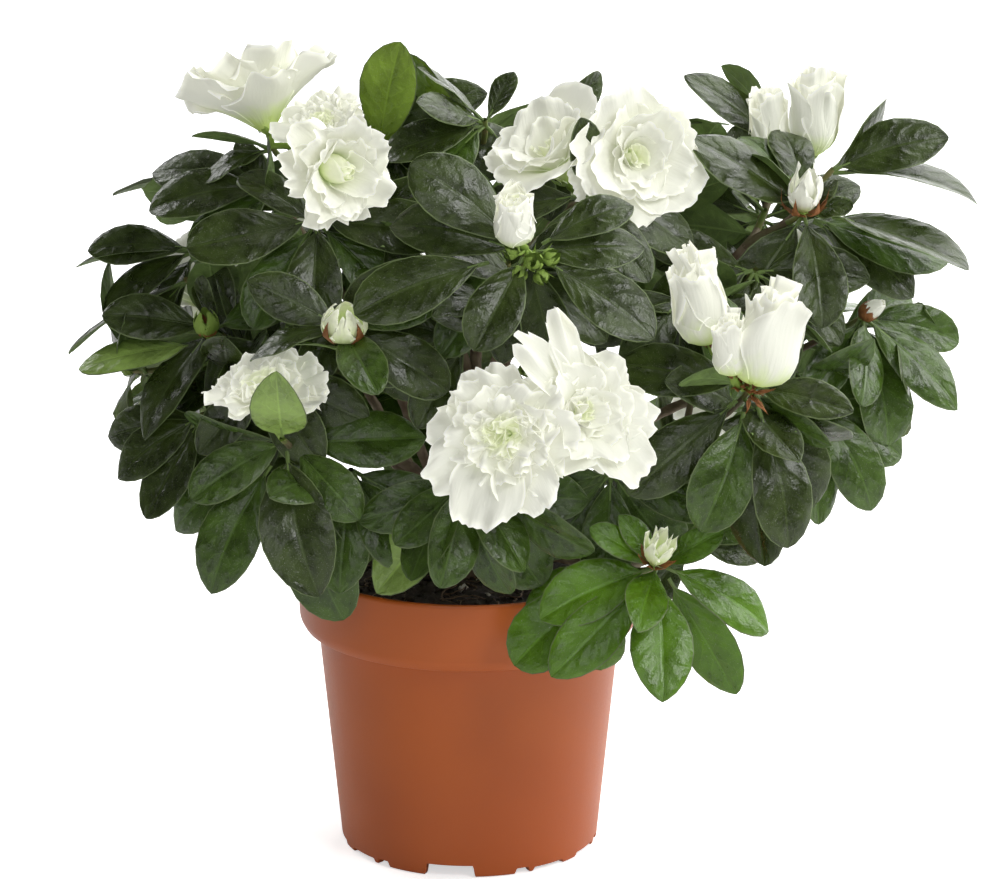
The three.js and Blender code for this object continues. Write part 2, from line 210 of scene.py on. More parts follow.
# How far the leaves of the rule reach from the crown's middle, as seen from the front: at every 15 degrees
# from the right, anticlockwise. And the gaps that they leave, each (right, up) from there and its radius.
CROWN_REACH = (156, 165, 159, 128, 102, 92, 84, 88, 100, 108, 138, 150,
               148, 133, 128, 112, 90, 64, 60, 62, 72, 94, 104, 134)
GAPS = ((-100, -24, 5), (-67, -33, 6), (77, -79, 11))


# ---- Plain maths ----


def unit(vector):
    return vector / np.linalg.norm(vector)


def smooth(low, high, value):
    """0 below low, 1 above high, and an even curve between them."""
    share = np.clip((value - low) / (high - low), 0, 1)
    return share * share * (3 - 2 * share)


def mix(a, b, share):
    return a + (b - a) * share


def pointing(bearing, rise):
    """The unit vector on a bearing and a rise, in degrees."""
    a, e = math.radians(bearing), math.radians(rise)
    return np.array([math.cos(a) * math.cos(e), math.sin(a) * math.cos(e), math.sin(e)])


def between(angle, first, second):
    """A vector turned by an angle, in radians, from the first towards the second."""
    return math.cos(angle) * first + math.sin(angle) * second


def across(axis):
    """The unit vectors to the right of an axis and up from it, for a viewer whom the axis points at."""
    right = np.cross([0, 0, 1], axis)
    right = unit(right) if np.linalg.norm(right) > 0.05 else np.array([1.0, 0, 0])
    return right, np.cross(axis, right)


AROUND = 6.3  # a random angle is drawn between 0 and this, in radians


def dice(*words):
    """A random generator of its own for each name, the same in every run."""
    return np.random.default_rng([SEED, zlib.crc32(" ".join(map(str, words)).encode())])


def curve(points, steps):
    """A smooth curve through four guide points: it leaves the first and enters the last."""
    t = np.linspace(0, 1, steps + 1)[:, None]
    a, b, c, d = points
    return a * (1 - t) ** 3 + 3 * b * t * (1 - t) ** 2 + 3 * c * t * t * (1 - t) + d * t**3


def lengths_along(line):
    """The distance along a line to each of its points."""
    return np.concatenate([[0], np.cumsum(np.linalg.norm(np.diff(line, axis=0), axis=1))])


def running_total(slopes, steps):
    """How far a slope leads after each step, from 0."""
    return np.concatenate([[0], np.cumsum((slopes[1:] + slopes[:-1]) / 2 * steps)])


def waves(points, size, seed, count=24):
    """A smooth random height from about -1 to 1 at each point, with bumps of about the given size."""
    rng = dice("waves", seed)
    total = np.zeros(len(points))
    for _ in range(count):
        direction = unit(rng.normal(size=points.shape[1]))
        length = size * rng.uniform(0.7, 1.8) * 2
        total += np.sin(points @ direction * (2 * math.pi / length) + rng.uniform(0, AROUND))
    return total / math.sqrt(count)


# ---- Meshes ----


def grid_faces(rows, columns, closed=False):
    """The faces of a grid of rows and columns of points. A closed one joins its last column to its first."""
    wide = columns if closed else columns - 1
    row, column = np.meshgrid(np.arange(rows - 1), np.arange(wide), indexing="ij")
    following = (column + 1) % columns
    corners = [row * columns + column, (row + 1) * columns + column]
    corners += [(row + 1) * columns + following, row * columns + following]
    return np.stack(corners, -1).reshape(-1, 4)


TILES = 4  # a place map has this many tiles each way: one for each finish and variant
TILE_EDGE = 0.05  # the share of a tile that is left free on each side


def places_on_sheet(along, side):
    """Each point's place on its sheet, from its share of the length and its side from -1 to 1."""
    places = np.stack([np.broadcast_to(along, side.shape), (side + 1) / 2], -1)
    return (places * (1 - 2 * TILE_EDGE) + TILE_EDGE).reshape(-1, 2)


class Sheets:
    """Small sheets gathered into one mesh, with each face's finish and each point's place on its sheet."""

    def __init__(self):
        self.parts = []
        self.count = 0
        self.mapped = False

    def add(self, points, faces, finish, places=None, variant=0):
        self.mapped = self.mapped or places is not None
        places = np.full((len(points), 2), 0.5) if places is None else places
        finish = np.broadcast_to(finish, len(faces))
        self.parts.append((points, faces + self.count, finish, places, np.full(len(faces), variant)))
        self.count += len(points)

    def build(self, name, materials, slot, *nodes):
        """The mesh as a piece of the plant, in the place of the frame's nodes."""
        points, faces, finish, places, variant = (np.concatenate(part) for part in zip(*self.parts))
        mesh = bpy.data.meshes.new(name)
        mesh.vertices.add(len(points))
        mesh.vertices.foreach_set("co", (points * MM).astype(np.float32).ravel())
        mesh.loops.add(4 * len(faces))
        mesh.loops.foreach_set("vertex_index", faces.astype(np.int32).ravel())
        mesh.polygons.add(len(faces))
        mesh.polygons.foreach_set("loop_start", np.arange(0, 4 * len(faces), 4, dtype=np.int32))
        for material in materials:
            mesh.materials.append(material)
        mesh.polygons.foreach_set("material_index", finish.astype(np.int32))
        mesh.polygons.foreach_set("use_smooth", np.ones(len(faces), bool))
        if self.mapped:
            variants = TILES * TILES // len(materials)
            tile = finish * variants + variant % variants
            corner = np.stack([tile % TILES, tile // TILES], -1)[:, None, :]
            uv = ((corner + places[faces]) / TILES).astype(np.float32).ravel()
            for layer in ("places", "OFBake"):
                mesh.uv_layers.new(name=layer).data.foreach_set("uv", uv)
        mesh.update(calc_edges=True)
        return put_in_place(bpy.data.objects.new(name, mesh), slot, *nodes)


def put_in_place(piece, slot, *nodes):
    """A finished piece of the plant, in the place of the frame's nodes."""
    bpy.context.scene.collection.objects.link(piece)
    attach(piece, "root")
    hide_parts(*nodes)
    return piece


def tube(line, radii, sides):
    """The points and the faces of a tube of rings along a line."""
    tangents = np.gradient(line, axis=0)
    tangents /= np.linalg.norm(tangents, axis=1)[:, None]
    normal = np.cross(tangents[0], [0.3, 0.9, 0.1])
    rings = []
    angles = np.linspace(0, 2 * math.pi, sides, endpoint=False)
    for point, tangent, radius in zip(line, tangents, radii):
        normal = unit(normal - tangent * (normal @ tangent))
        other = np.cross(tangent, normal)
        ring = np.outer(np.cos(angles), normal) + np.outer(np.sin(angles), other)
        rings.append(point + ring * radius)
    return np.concatenate(rings), grid_faces(len(line), sides, closed=True)[:, ::-1]


# ---- The frame's masses and limbs ----


def nodes_named(prefix):
    return sorted(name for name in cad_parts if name.startswith(prefix))


@functools.cache
def masses():
    """Every mass of foliage: its middle and its half sizes, in millimetres."""
    found = {}
    for name in nodes_named("foliage_"):
        low, high = (np.array(corner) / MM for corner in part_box(name))
        found[name] = ((low + high) / 2, (high - low) / 2)
    return found


def from_middle(mass, offset):
    """The point at an offset from a mass's middle."""
    return masses()[mass][0] + np.array(offset, float)


@functools.cache
def limb(name):
    """A limb of the frame: nine points along its centre line, from its root, and its radius at each."""
    points = np.array([v.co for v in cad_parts[name].data.vertices]) / MM
    middle = points.mean(0)
    main = np.linalg.svd(points - middle)[2][0]
    if main @ (middle - ROOT) < 0:
        main = -main
    shares = (points - middle) @ main
    fits = [np.polyfit(shares, points[:, k], 3) for k in range(3)]
    line = np.stack([np.polyval(fit, shares) for fit in fits], -1)
    radius = np.polyfit(shares, np.linalg.norm(points - line, axis=1), 1)
    places = np.linspace(shares.min(), shares.max(), 9)
    return np.stack([np.polyval(fit, places) for fit in fits], -1), np.polyval(radius, places)


ROOT = np.array([0, 0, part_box("stem")[0][2] / MM])  # the foot of the stem
POT_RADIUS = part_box("pot")[1][0] / MM
POT_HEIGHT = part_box("pot")[1][2] / MM
PEAT_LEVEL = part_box("root_ball")[1][2] / MM
INSIDE_RIM = 3.5  # from the outside of the rim to the inside of it, with some room


def bough_into(mass):
    """The limb whose tip comes nearest to a mass's middle."""
    middle = masses()[mass][0]
    return min(nodes_named("bough_"), key=lambda name: np.linalg.norm(limb(name)[0][-1] - middle))


# ---- Branching rule ----

FRONT_RISE = math.radians(16.5)  # the placed shoots are told from this height in front
FRONT_RIGHT = np.array([1.0, 0, 0])
FRONT_UP = np.array([0, math.sin(FRONT_RISE), math.cos(FRONT_RISE)])
FRONT_AWAY = np.array([0, math.cos(FRONT_RISE), -math.sin(FRONT_RISE)])
FRONT_PLANE = np.stack([FRONT_RIGHT, FRONT_UP]).T

TWIG_SPACING = 30.0  # the least distance between two shoot tips
CANDIDATES = 90  # the directions tried in each mass
GOLDEN_ANGLE = 2.39996  # from each direction tried to the next, in radians
LEAF_ROOM = 44.0  # about the reach of a shoot's leaves
BACK_KINDS = ("double", "carnation", "loose", "cup")  # the kinds of the blooms of the back, in turn
BLOOM_SPACING = 50.0  # the least distance between two blooms of the back
BLOOM_ROOM = 7.0  # the room that leaves of the rule keep round a bloom
TWIG_REACH, INNER_REACH = 0.58, 0.28  # shares of the way from a mass's middle to its outside
CROWN_MIDDLE = np.array([12, 0, 175.0])
OWN_DEPTH = 0.7  # a shoot stays out of the other masses to this depth
LOW_BESIDE, LOW_ABOVE = 8, 22  # the least height of a tip over the rim, beside the pot and above it
HIDING_DEPTH = 10  # a tip this far behind another hides none of its leaves
BACK_BLOOM_LEVELS = (130, 235)  # between these heights
BACK_BLOOM_FROM = 25  # behind this distance from the pot's axis
BUDDING_FROM = 45  # behind this distance the shoots have buds of several kinds


def depth_in(point, mass):
    """How deep a point lies in a mass: 0 at its middle and 1 at its outside."""
    middle, half = masses()[mass]
    return np.linalg.norm((point - middle) / half)


def placed_shoots():
    """The shoots of the front, from their table."""
    found = []
    for mass, rows in SHOOTS.items():
        for number, (offset, facing, tint, leaves) in enumerate(rows):
            found.append({"mass": mass, "tip": from_middle(mass, offset), "axis": pointing(*facing),
                          "tint": tint, "leaves": leaves, "name": f"{mass} {number}", "placed": True})
    return found


def stands_before(tip, other):
    """Whether a tip would hide another's leaves from the front."""
    aside = np.linalg.norm((tip - other) @ FRONT_PLANE)
    return aside < LEAF_ROOM and (tip - other) @ FRONT_AWAY < HIDING_DEPTH


def grown_shoots(placed):
    """The rest of the shoots: a layer near the outside of every mass and a layer inside, well apart."""
    found = []
    for share, spacing in ((TWIG_REACH, TWIG_SPACING), (INNER_REACH, TWIG_SPACING * 0.9)):
        for mass, (middle, half) in masses().items():
            rng = dice("shoots", mass, share)
            outward = unit(middle - CROWN_MIDDLE)
            for number in range(CANDIDATES):
                height = 1 - 2 * (number + 0.5) / CANDIDATES
                turn = number * GOLDEN_ANGLE + rng.uniform(-0.2, 0.2)
                ring = math.sqrt(1 - height * height)
                direction = np.array([ring * math.cos(turn), ring * math.sin(turn), height])
                tip = middle + direction * half * (share + rng.uniform(-0.08, 0.06))
                beside = np.linalg.norm(tip[:2]) > POT_RADIUS + LOW_BESIDE
                low = tip[2] < POT_HEIGHT + (LOW_BESIDE if beside else LOW_ABOVE)
                others = [other for other in masses() if other != mass]
                if share == TWIG_REACH and any(depth_in(tip, other) < OWN_DEPTH for other in others):
                    continue
                if low or in_the_open(tip[None]) or before_a_bloom(tip[None]):
                    continue
                if any(np.linalg.norm(tip - s["tip"]) < spacing for s in placed + found):
                    continue
                if any(stands_before(tip, s["tip"]) for s in placed):
                    continue
                axis = unit(direction * 0.75 + outward * 0.5 + np.array([0, 0, 0.35]))
                tint = "mid" if tip[2] < 150 or rng.random() < 0.25 else "deep"
                found.append({"mass": mass, "tip": tip, "axis": axis, "tint": tint, "leaves": None,
                              "name": f"{mass} {share} {number}", "placed": False})
    return found


def own_leaves(shoot):
    """The leaves of a shoot by the rule: the older ones long and spread, the younger short and upright."""
    rng = dice("leaves", shoot["name"])
    axis = shoot["axis"]
    right, up = across(axis)
    count = rng.integers(7, 10)
    turn = rng.uniform(0, AROUND)
    found = []
    for number in range(count):
        age = 1 - number / (count - 1)
        clock = turn + number * 2.4 + rng.uniform(-0.2, 0.2)
        tilt = math.radians(mix(34, 88, age**0.8) + rng.uniform(-9, 9))
        length = mix(22, 41, age**0.6) * rng.uniform(0.86, 1.08)
        along = between(tilt, axis, between(clock, right, up))
        found.append((along, length, 0, 0.8, 1 + 5 * age))
    return found


def told_leaves(shoot):
    """The leaves of a placed shoot, from their table."""
    found = []
    for number, (clock, lean, length, *rest) in enumerate(shoot["leaves"]):
        roll, start = (*rest, 0, 0)[:2]
        flat = between(math.radians(clock), FRONT_RIGHT, FRONT_UP)
        along = between(math.radians(lean), flat, -FRONT_AWAY)
        found.append((along, length, math.radians(roll), start, 1 + 0.5 * number))
    return found


@functools.cache
def shoots():
    """Every shoot with its twig, from the end of its mass's bough or from a twig before it."""
    placed = placed_shoots()
    found = placed + grown_shoots(placed)
    grown = {}
    for shoot in found:
        mass, tip, axis = shoot["mass"], shoot["tip"], shoot["axis"]
        line, _ = limb(bough_into(mass))
        knuckle = line[-1] + unit(line[-1] - line[-2]) * 9
        twigs = grown.setdefault(mass, [])
        starts = [(knuckle, unit(line[-1] - line[-2]))]
        for twig in twigs:
            starts += [(twig[i], unit(twig[i + 1] - twig[i])) for i in (4, 6)]
        aim = tip - axis * 22
        start, way = min(starts, key=lambda s: np.linalg.norm(s[0] - aim))
        run = np.linalg.norm(tip - start)
        guides = [start, start + way * run * 0.35, tip - axis * run * 0.4, tip]
        shoot["twig"] = curve(guides, 12)
        twigs.append(shoot["twig"])
        shoot["leaves"] = told_leaves(shoot) if shoot["placed"] else own_leaves(shoot)
    return found


# ---- Leaves ----

LEAF_FINISHES = ("deep", "mid", "fresh", "young", "pale", "underside", "rib", "margin")
BLADE_ROWS = (1 - np.cos(np.linspace(0, math.pi, 12))) / 2
UPPER_FRACTIONS = np.array([0, 0.35, 0.7, 1])  # of the blade between the rib and the margin
LOWER_COLUMNS = np.array([-1, -0.55, 0, 0.55, 1])
RIB_HALF = 0.36
MARGIN_WIDTH = 0.38
PETIOLE_HALF = 0.75
POT_ROOM, PEAT_ROOM = 0.8, 1.5  # the least distance of a leaf from the rim and from the peat


def out_of_the_pot(points):
    """Lifts or pushes points that would lie in the pot's rim or in the peat."""
    points = points.copy()
    reach = np.linalg.norm(points[:, :2], axis=1)
    top = POT_HEIGHT + POT_ROOM
    outside = POT_RADIUS + POT_ROOM
    inside = POT_RADIUS - INSIDE_RIM
    low = (points[:, 2] < top) & (reach < outside) & (reach > inside)
    push = low & (outside - reach < top - points[:, 2])
    points[push, :2] *= (outside / reach[push])[:, None]
    lift = low & ~push
    points[lift, 2] = top
    sunk = (reach <= inside) & (points[:, 2] < PEAT_LEVEL + PEAT_ROOM)
    points[sunk, 2] = PEAT_LEVEL + PEAT_ROOM
    return points


def leaf(sheets, base, along, facing, length, shoot, rng):
    """One leaf of a shoot: an upper and a lower sheet that meet at the margin, on a stalk."""
    width = length * rng.uniform(0.45, 0.56)
    tone = LEAF_FINISHES.index(own_tint(shoot, rng))
    stalk = length * 0.09
    stations = np.concatenate([[-stalk, -stalk / 2], length * BLADE_ROWS])
    rows = len(stations)
    t = np.clip(stations / length, 0, 1)
    share = (stations + stalk) / (length + stalk)
    rise, fall = rng.uniform(0.74, 1.0), rng.uniform(0.56, 0.76)
    peak = rise / (rise + fall)
    blade = width / 2 * t**rise * (1 - t) ** fall / (peak**rise * (1 - peak) ** fall)
    half = np.maximum(blade, mix(PETIOLE_HALF, 0.14, smooth(0.6, 1, t)))

    bend = math.radians(rng.uniform(12, 48))
    angle = math.radians(rng.uniform(0, 12)) - bend * share**1.6
    sway = math.radians(rng.uniform(-14, 14)) * share**1.5
    twist = math.radians(rng.uniform(-16, 16)) * share
    tangent = np.stack([np.cos(angle) * np.cos(sway), np.cos(angle) * np.sin(sway), np.sin(angle)], -1)
    steps = np.diff(stations)[:, None]
    line = np.concatenate([np.zeros((1, 3)), np.cumsum((tangent[1:] + tangent[:-1]) / 2 * steps, 0)])
    flat = np.stack([-np.sin(sway), np.cos(sway), np.zeros(rows)], -1)
    normal = np.cross(tangent, flat)
    c, s = np.cos(twist)[:, None], np.sin(twist)[:, None]
    side, normal = flat * c + normal * s, normal * c - flat * s

    fold = rng.uniform(0.08, 0.38)
    camber = rng.uniform(0.06, 0.22)
    ripple, turn = rng.uniform(0.15, 0.7), rng.uniform(0, AROUND, 2)
    frequency = rng.uniform(1.1, 2.2)

    def surface(v):
        y = half[:, None] * v
        away = np.abs(v)
        z = fold * (np.sqrt(y * y + 0.5) - 0.7) - camber * half[:, None] * away**4
        phase = np.where(v > 0, turn[0], turn[1])
        wave = np.sin(2 * math.pi * frequency * t[:, None] + phase)
        z += ripple * wave * away**2 * smooth(0, 0.2, t)[:, None]
        thick = mix(0.6, 0.16, smooth(0, 0.12, t))[:, None] * np.sqrt(np.clip(1 - v * v, 0, 1))
        return y, z, thick

    def to_plant(y, z):
        points = line[:, None] + side[:, None] * y[..., None] + normal[:, None] * z[..., None]
        upward = unit(facing - along * (facing @ along))
        turned = np.stack([along, np.cross(upward, along), upward])
        return out_of_the_pot(points.reshape(-1, 3) @ turned + base)

    margin = np.clip(MARGIN_WIDTH / half, 0, 0.3)[:, None]
    rib = np.clip(RIB_HALF * (1 - 0.7 * t) / half, 0, 0.3)[:, None]
    right = np.concatenate([rib + UPPER_FRACTIONS * (1 - margin - rib), np.ones((rows, 1))], 1)
    v = np.concatenate([-right[:, ::-1], np.zeros((rows, 1)), right], 1)
    y, z, thick = surface(v)
    z += thick
    middle = v.shape[1] // 2
    z[:, middle] -= 0.22 * smooth(0, 0.1, t) * (1 - 0.6 * t)
    strips = v.shape[1] - 1
    finish = np.full((rows - 1, strips), tone)
    # The outer strips take the pale margin finish: partly the leaf's own pale edge and partly a painted
    # highlight along it.
    finish[:, [0, -1]] = LEAF_FINISHES.index("margin")
    pale = t[1:] < rng.uniform(0.04, 0.22)
    finish[pale, middle - 1 : middle + 1] = LEAF_FINISHES.index("rib")
    finish[:2] = LEAF_FINISHES.index("rib")
    places = places_on_sheet(share[:, None], v)
    variant = rng.integers(0, 2)
    faces = grid_faces(rows, strips + 1)
    sheets.add(to_plant(y, z), faces[:, ::-1], finish.ravel(), places, variant)

    v = np.broadcast_to(LOWER_COLUMNS, (rows, len(LOWER_COLUMNS)))
    y, z, thick = surface(v)
    z -= thick + 0.4 * (1 - 0.7 * t)[:, None] * (v == 0)
    finish = np.full((rows - 1, len(LOWER_COLUMNS) - 1), LEAF_FINISHES.index("underside"))
    finish[:3, 1:3] = LEAF_FINISHES.index("rib")
    places = places_on_sheet(share[:, None], v)
    sheets.add(to_plant(y, z), grid_faces(rows, len(LOWER_COLUMNS)), finish.ravel(), places, variant)


STRAY_TINTS = (0.27, 0.1)  # the share of leaves in another tint, by the rule and on a placed shoot


def own_tint(shoot, rng):
    """A leaf's tint: that of its shoot, or at times the nearest other one."""
    tint = shoot["tint"]
    other = {"deep": "mid", "mid": "deep"}.get(tint, tint)
    return other if rng.random() < STRAY_TINTS[shoot["placed"]] else tint


def bloom_foot(mouth, axis, kind, size):
    return mouth - axis * BLOOM_KINDS[kind][0] * size


def from_axis(points, foot, axis):
    """How far points lie along an axis from its foot, and how far to its side."""
    deep = (points - foot) @ axis
    return deep, np.linalg.norm(points - foot - deep[:, None] * axis, axis=1)


@functools.cache
def bloom_zones():
    """Each front bloom's foot, axis and half width."""
    found = []
    for mass, offset, facing, kind, size, *_ in BLOOMS:
        axis = pointing(*facing)
        foot = bloom_foot(from_middle(mass, offset), axis, kind, size)
        found.append((foot, axis, BLOOM_KINDS[kind][1] * size))
    return found


@functools.cache
def back_blooms(number):
    """The blooms of the sides and the back: their shoot's name, mouth, axis, kind and size."""
    low, high = BACK_BLOOM_LEVELS
    behind = [s for s in shoots() if not s["placed"] and s["axis"][1] > 0.2 and low < s["tip"][2] < high]
    rng = dice("behind")
    found = []
    for index in rng.permutation(len(behind)):
        shoot = behind[index]
        kind = BACK_KINDS[len(found) % len(BACK_KINDS)]
        size = rng.uniform(0.75, 0.95)
        mouth = shoot["tip"] + shoot["axis"] * (6 + BLOOM_KINDS[kind][0] * size)
        outside = depth_in(shoot["tip"], shoot["mass"]) > 0.4 and mouth[1] > BACK_BLOOM_FROM
        rim = mouth + 27 * size * np.stack([FRONT_RIGHT, -FRONT_RIGHT, FRONT_UP, -FRONT_UP])
        apart = all(np.linalg.norm(mouth - other[1]) > BLOOM_SPACING for other in found)
        if outside and apart and not in_the_open(rim):
            found.append((shoot["name"], mouth, shoot["axis"], kind, size))
        if len(found) == number:
            break
    return found


def in_a_back_bloom(points):
    """Whether any point lies in one of the blooms behind."""
    for _, mouth, axis, kind, size in back_blooms(bpy.context.scene.azalea_blooms.back_blooms):
        deep, aside = from_axis(points, bloom_foot(mouth, axis, kind, size), axis)
        half = BLOOM_KINDS[kind][1] * size
        if ((deep > 2) & (deep < 45) & (aside < half + BLOOM_ROOM)).any():
            return True
    return False


def in_the_open(points):
    """Whether any point lies beyond the crown's outline or in one of its gaps, as seen from the front."""
    seen = (points - CROWN_MIDDLE) @ FRONT_PLANE
    clock = np.degrees(np.arctan2(seen[:, 1], seen[:, 0])) % 360
    reach = np.interp(clock, np.arange(0, 375, 15), CROWN_REACH + CROWN_REACH[:1])
    if (np.linalg.norm(seen, axis=1) > reach).any():
        return True
    return any((np.linalg.norm(seen - gap[:2], axis=1) < gap[2] + 3).any() for gap in GAPS)


def may_grow(base, along, length):
    """Whether a leaf stays in the crown's outline and clear of the blooms."""
    points = base + np.outer(np.linspace(0.15, 1, 6), along) * length
    return not (in_the_open(points) or before_a_bloom(points) or in_a_back_bloom(points))


def before_a_bloom(points):
    """Whether any point lies in a bloom of the front or stands in front of it."""
    for foot, axis, half in bloom_zones():
        deep, aside = from_axis(points, foot, axis)
        if ((deep > 3) & (aside < half + BLOOM_ROOM)).any():
            return True
        ahead = (points - foot) @ FRONT_AWAY < 6
        hidden = np.linalg.norm((points - foot) @ FRONT_PLANE, axis=1) < half
        if (ahead & hidden).any():
            return True
    return False


FIRST_OLD_LEAF, LAST_OLD_LEAF = 13.0, 44  # from the shoot's tip down its twig


def rosette(sheets, shoot):
    """The leaves round a shoot's tip, and a few older ones along its twig."""
    rng = dice("rosette", shoot["name"])
    axis, tip = shoot["axis"], shoot["tip"]
    for along, length, roll, start, back in shoot["leaves"]:
        out = unit(along - axis * (along @ axis) + axis * 1e-4)
        facing = unit(axis - along * (axis @ along) + along * 1e-4)
        facing = between(roll, facing, np.cross(along, facing))
        base = tip - axis * back + (out * 0.8 if start < 2 else along * start)
        if shoot["placed"] or may_grow(base, along, length):
            leaf(sheets, base, along, facing, length, shoot, rng)
    if len(shoot["leaves"]) < 3:
        return
    twig = shoot["twig"]
    lengths = lengths_along(twig)
    distance, last = FIRST_OLD_LEAF, min(lengths[-1] - 6, LAST_OLD_LEAF)
    while distance < last:
        place = lengths[-1] - distance
        base = np.array([np.interp(place, lengths, twig[:, k]) for k in range(3)])
        i = min(int(np.searchsorted(lengths, place)), len(twig) - 1)
        way = unit(twig[i] - twig[i - 1])
        right, up = across(way)
        clock, tilt = rng.uniform(0, AROUND), math.radians(rng.uniform(55, 80))
        out = between(clock, right, up)
        along = between(tilt, way, out)
        facing = math.sin(tilt) * way - math.cos(tilt) * out
        length = rng.uniform(29, 40)
        if may_grow(base, along, length):
            leaf(sheets, base, along, facing, length, shoot, rng)
        distance += rng.uniform(5, 8)


# ---- Petals ----

PETAL_FINISHES = ("petal", "heart", "calyx", "scale")
PETAL_GRID = (14, 21)  # rows along a petal, and columns across it
BUD_GRID = (8, 7)


def petal(sheets, base, axis, turn, shape, finish, rng, fine=True):
    """One petal, scale or sepal: it leaves the flower's foot near the axis and opens out from it."""
    length, width, start, end, curl, ruffle, ring, turned_by = shape[:8]
    pointed = shape[8] if len(shape) > 8 else 0.0
    rows, columns = PETAL_GRID if fine else BUD_GRID
    s = 1 - (1 - np.linspace(0, 1, rows)) ** 1.25
    v = np.linspace(-1, 1, columns)
    angle = np.radians(start + (end - start) * smooth(0.0, turned_by, s) + curl * smooth(0.6, 1, s))
    steps = np.diff(s) * length
    radial = ring + running_total(np.sin(angle), steps)
    rising = running_total(np.cos(angle), steps)

    s2, v2 = np.meshgrid(s, v, indexing="ij")
    away = np.abs(v2)
    shoulder = mix(0.3, 0.85, pointed)
    back = shoulder * away ** mix(2.6, 1.3, pointed) * s2**2
    swell = 0.2 + 0.8 * smooth(-0.1, 0.72, s2)
    half = width / 2 * swell * mix(1, np.cos(s2 * math.pi / 2) ** 0.4 + 0.02, pointed)
    p = rng.uniform(0, AROUND, 6)
    f = rng.uniform(0.8, 1.3, 3)
    near = np.maximum(s2, away * smooth(0.2, 0.6, s2))
    lift = 0.75 * np.sin(2.3 * f[0] * v2 + 1.2 * s2 + p[0]) * smooth(0.25, 1, near)
    lift += 0.8 * np.sin(5.2 * f[1] * v2 - 1.5 * s2 + p[1]) * smooth(0.45, 1, near)
    lift += 0.6 * np.sin(10 * f[2] * v2 + 2 * s2 + p[2]) * smooth(0.7, 1, near)
    lift = ruffle * lift
    teeth = np.sin(8 * f[1] * v2 + p[3]) + 0.8 * np.sin(14 * f[0] * v2 + p[4]) + 1.2 * np.sin(3.4 * v2 + p[5])
    teeth += 0.8 * np.sin(25 * f[2] * v2 + p[0])
    frill = 0.017 * length * smooth(0.6, 1, s2) * teeth * np.clip(ruffle, 0, 1.2)
    along = s2 * length * (1 - back) + frill

    r, z, a = (np.interp(along, s * length, part) for part in (radial, rising, angle))
    y = half * v2
    bow = np.clip(r, 1.5, None) * 1.15 + 40 * smooth(15, 75, np.degrees(a)) * s2
    inward = bow * (1 - np.cos(y / bow)) + lift
    sideways = bow * np.sin(y / bow)
    r, z = r - np.cos(a) * inward, z + np.sin(a) * inward

    right, up = across(axis)
    out = between(turn, right, up)
    aside = between(turn, up, -right)
    points = base + r[..., None] * out + sideways[..., None] * aside + z[..., None] * axis
    index = PETAL_FINISHES.index(finish)
    places = places_on_sheet(s2, v2)
    sheets.add(points.reshape(-1, 3), grid_faces(rows, columns), index, places, rng.integers(0, 4))


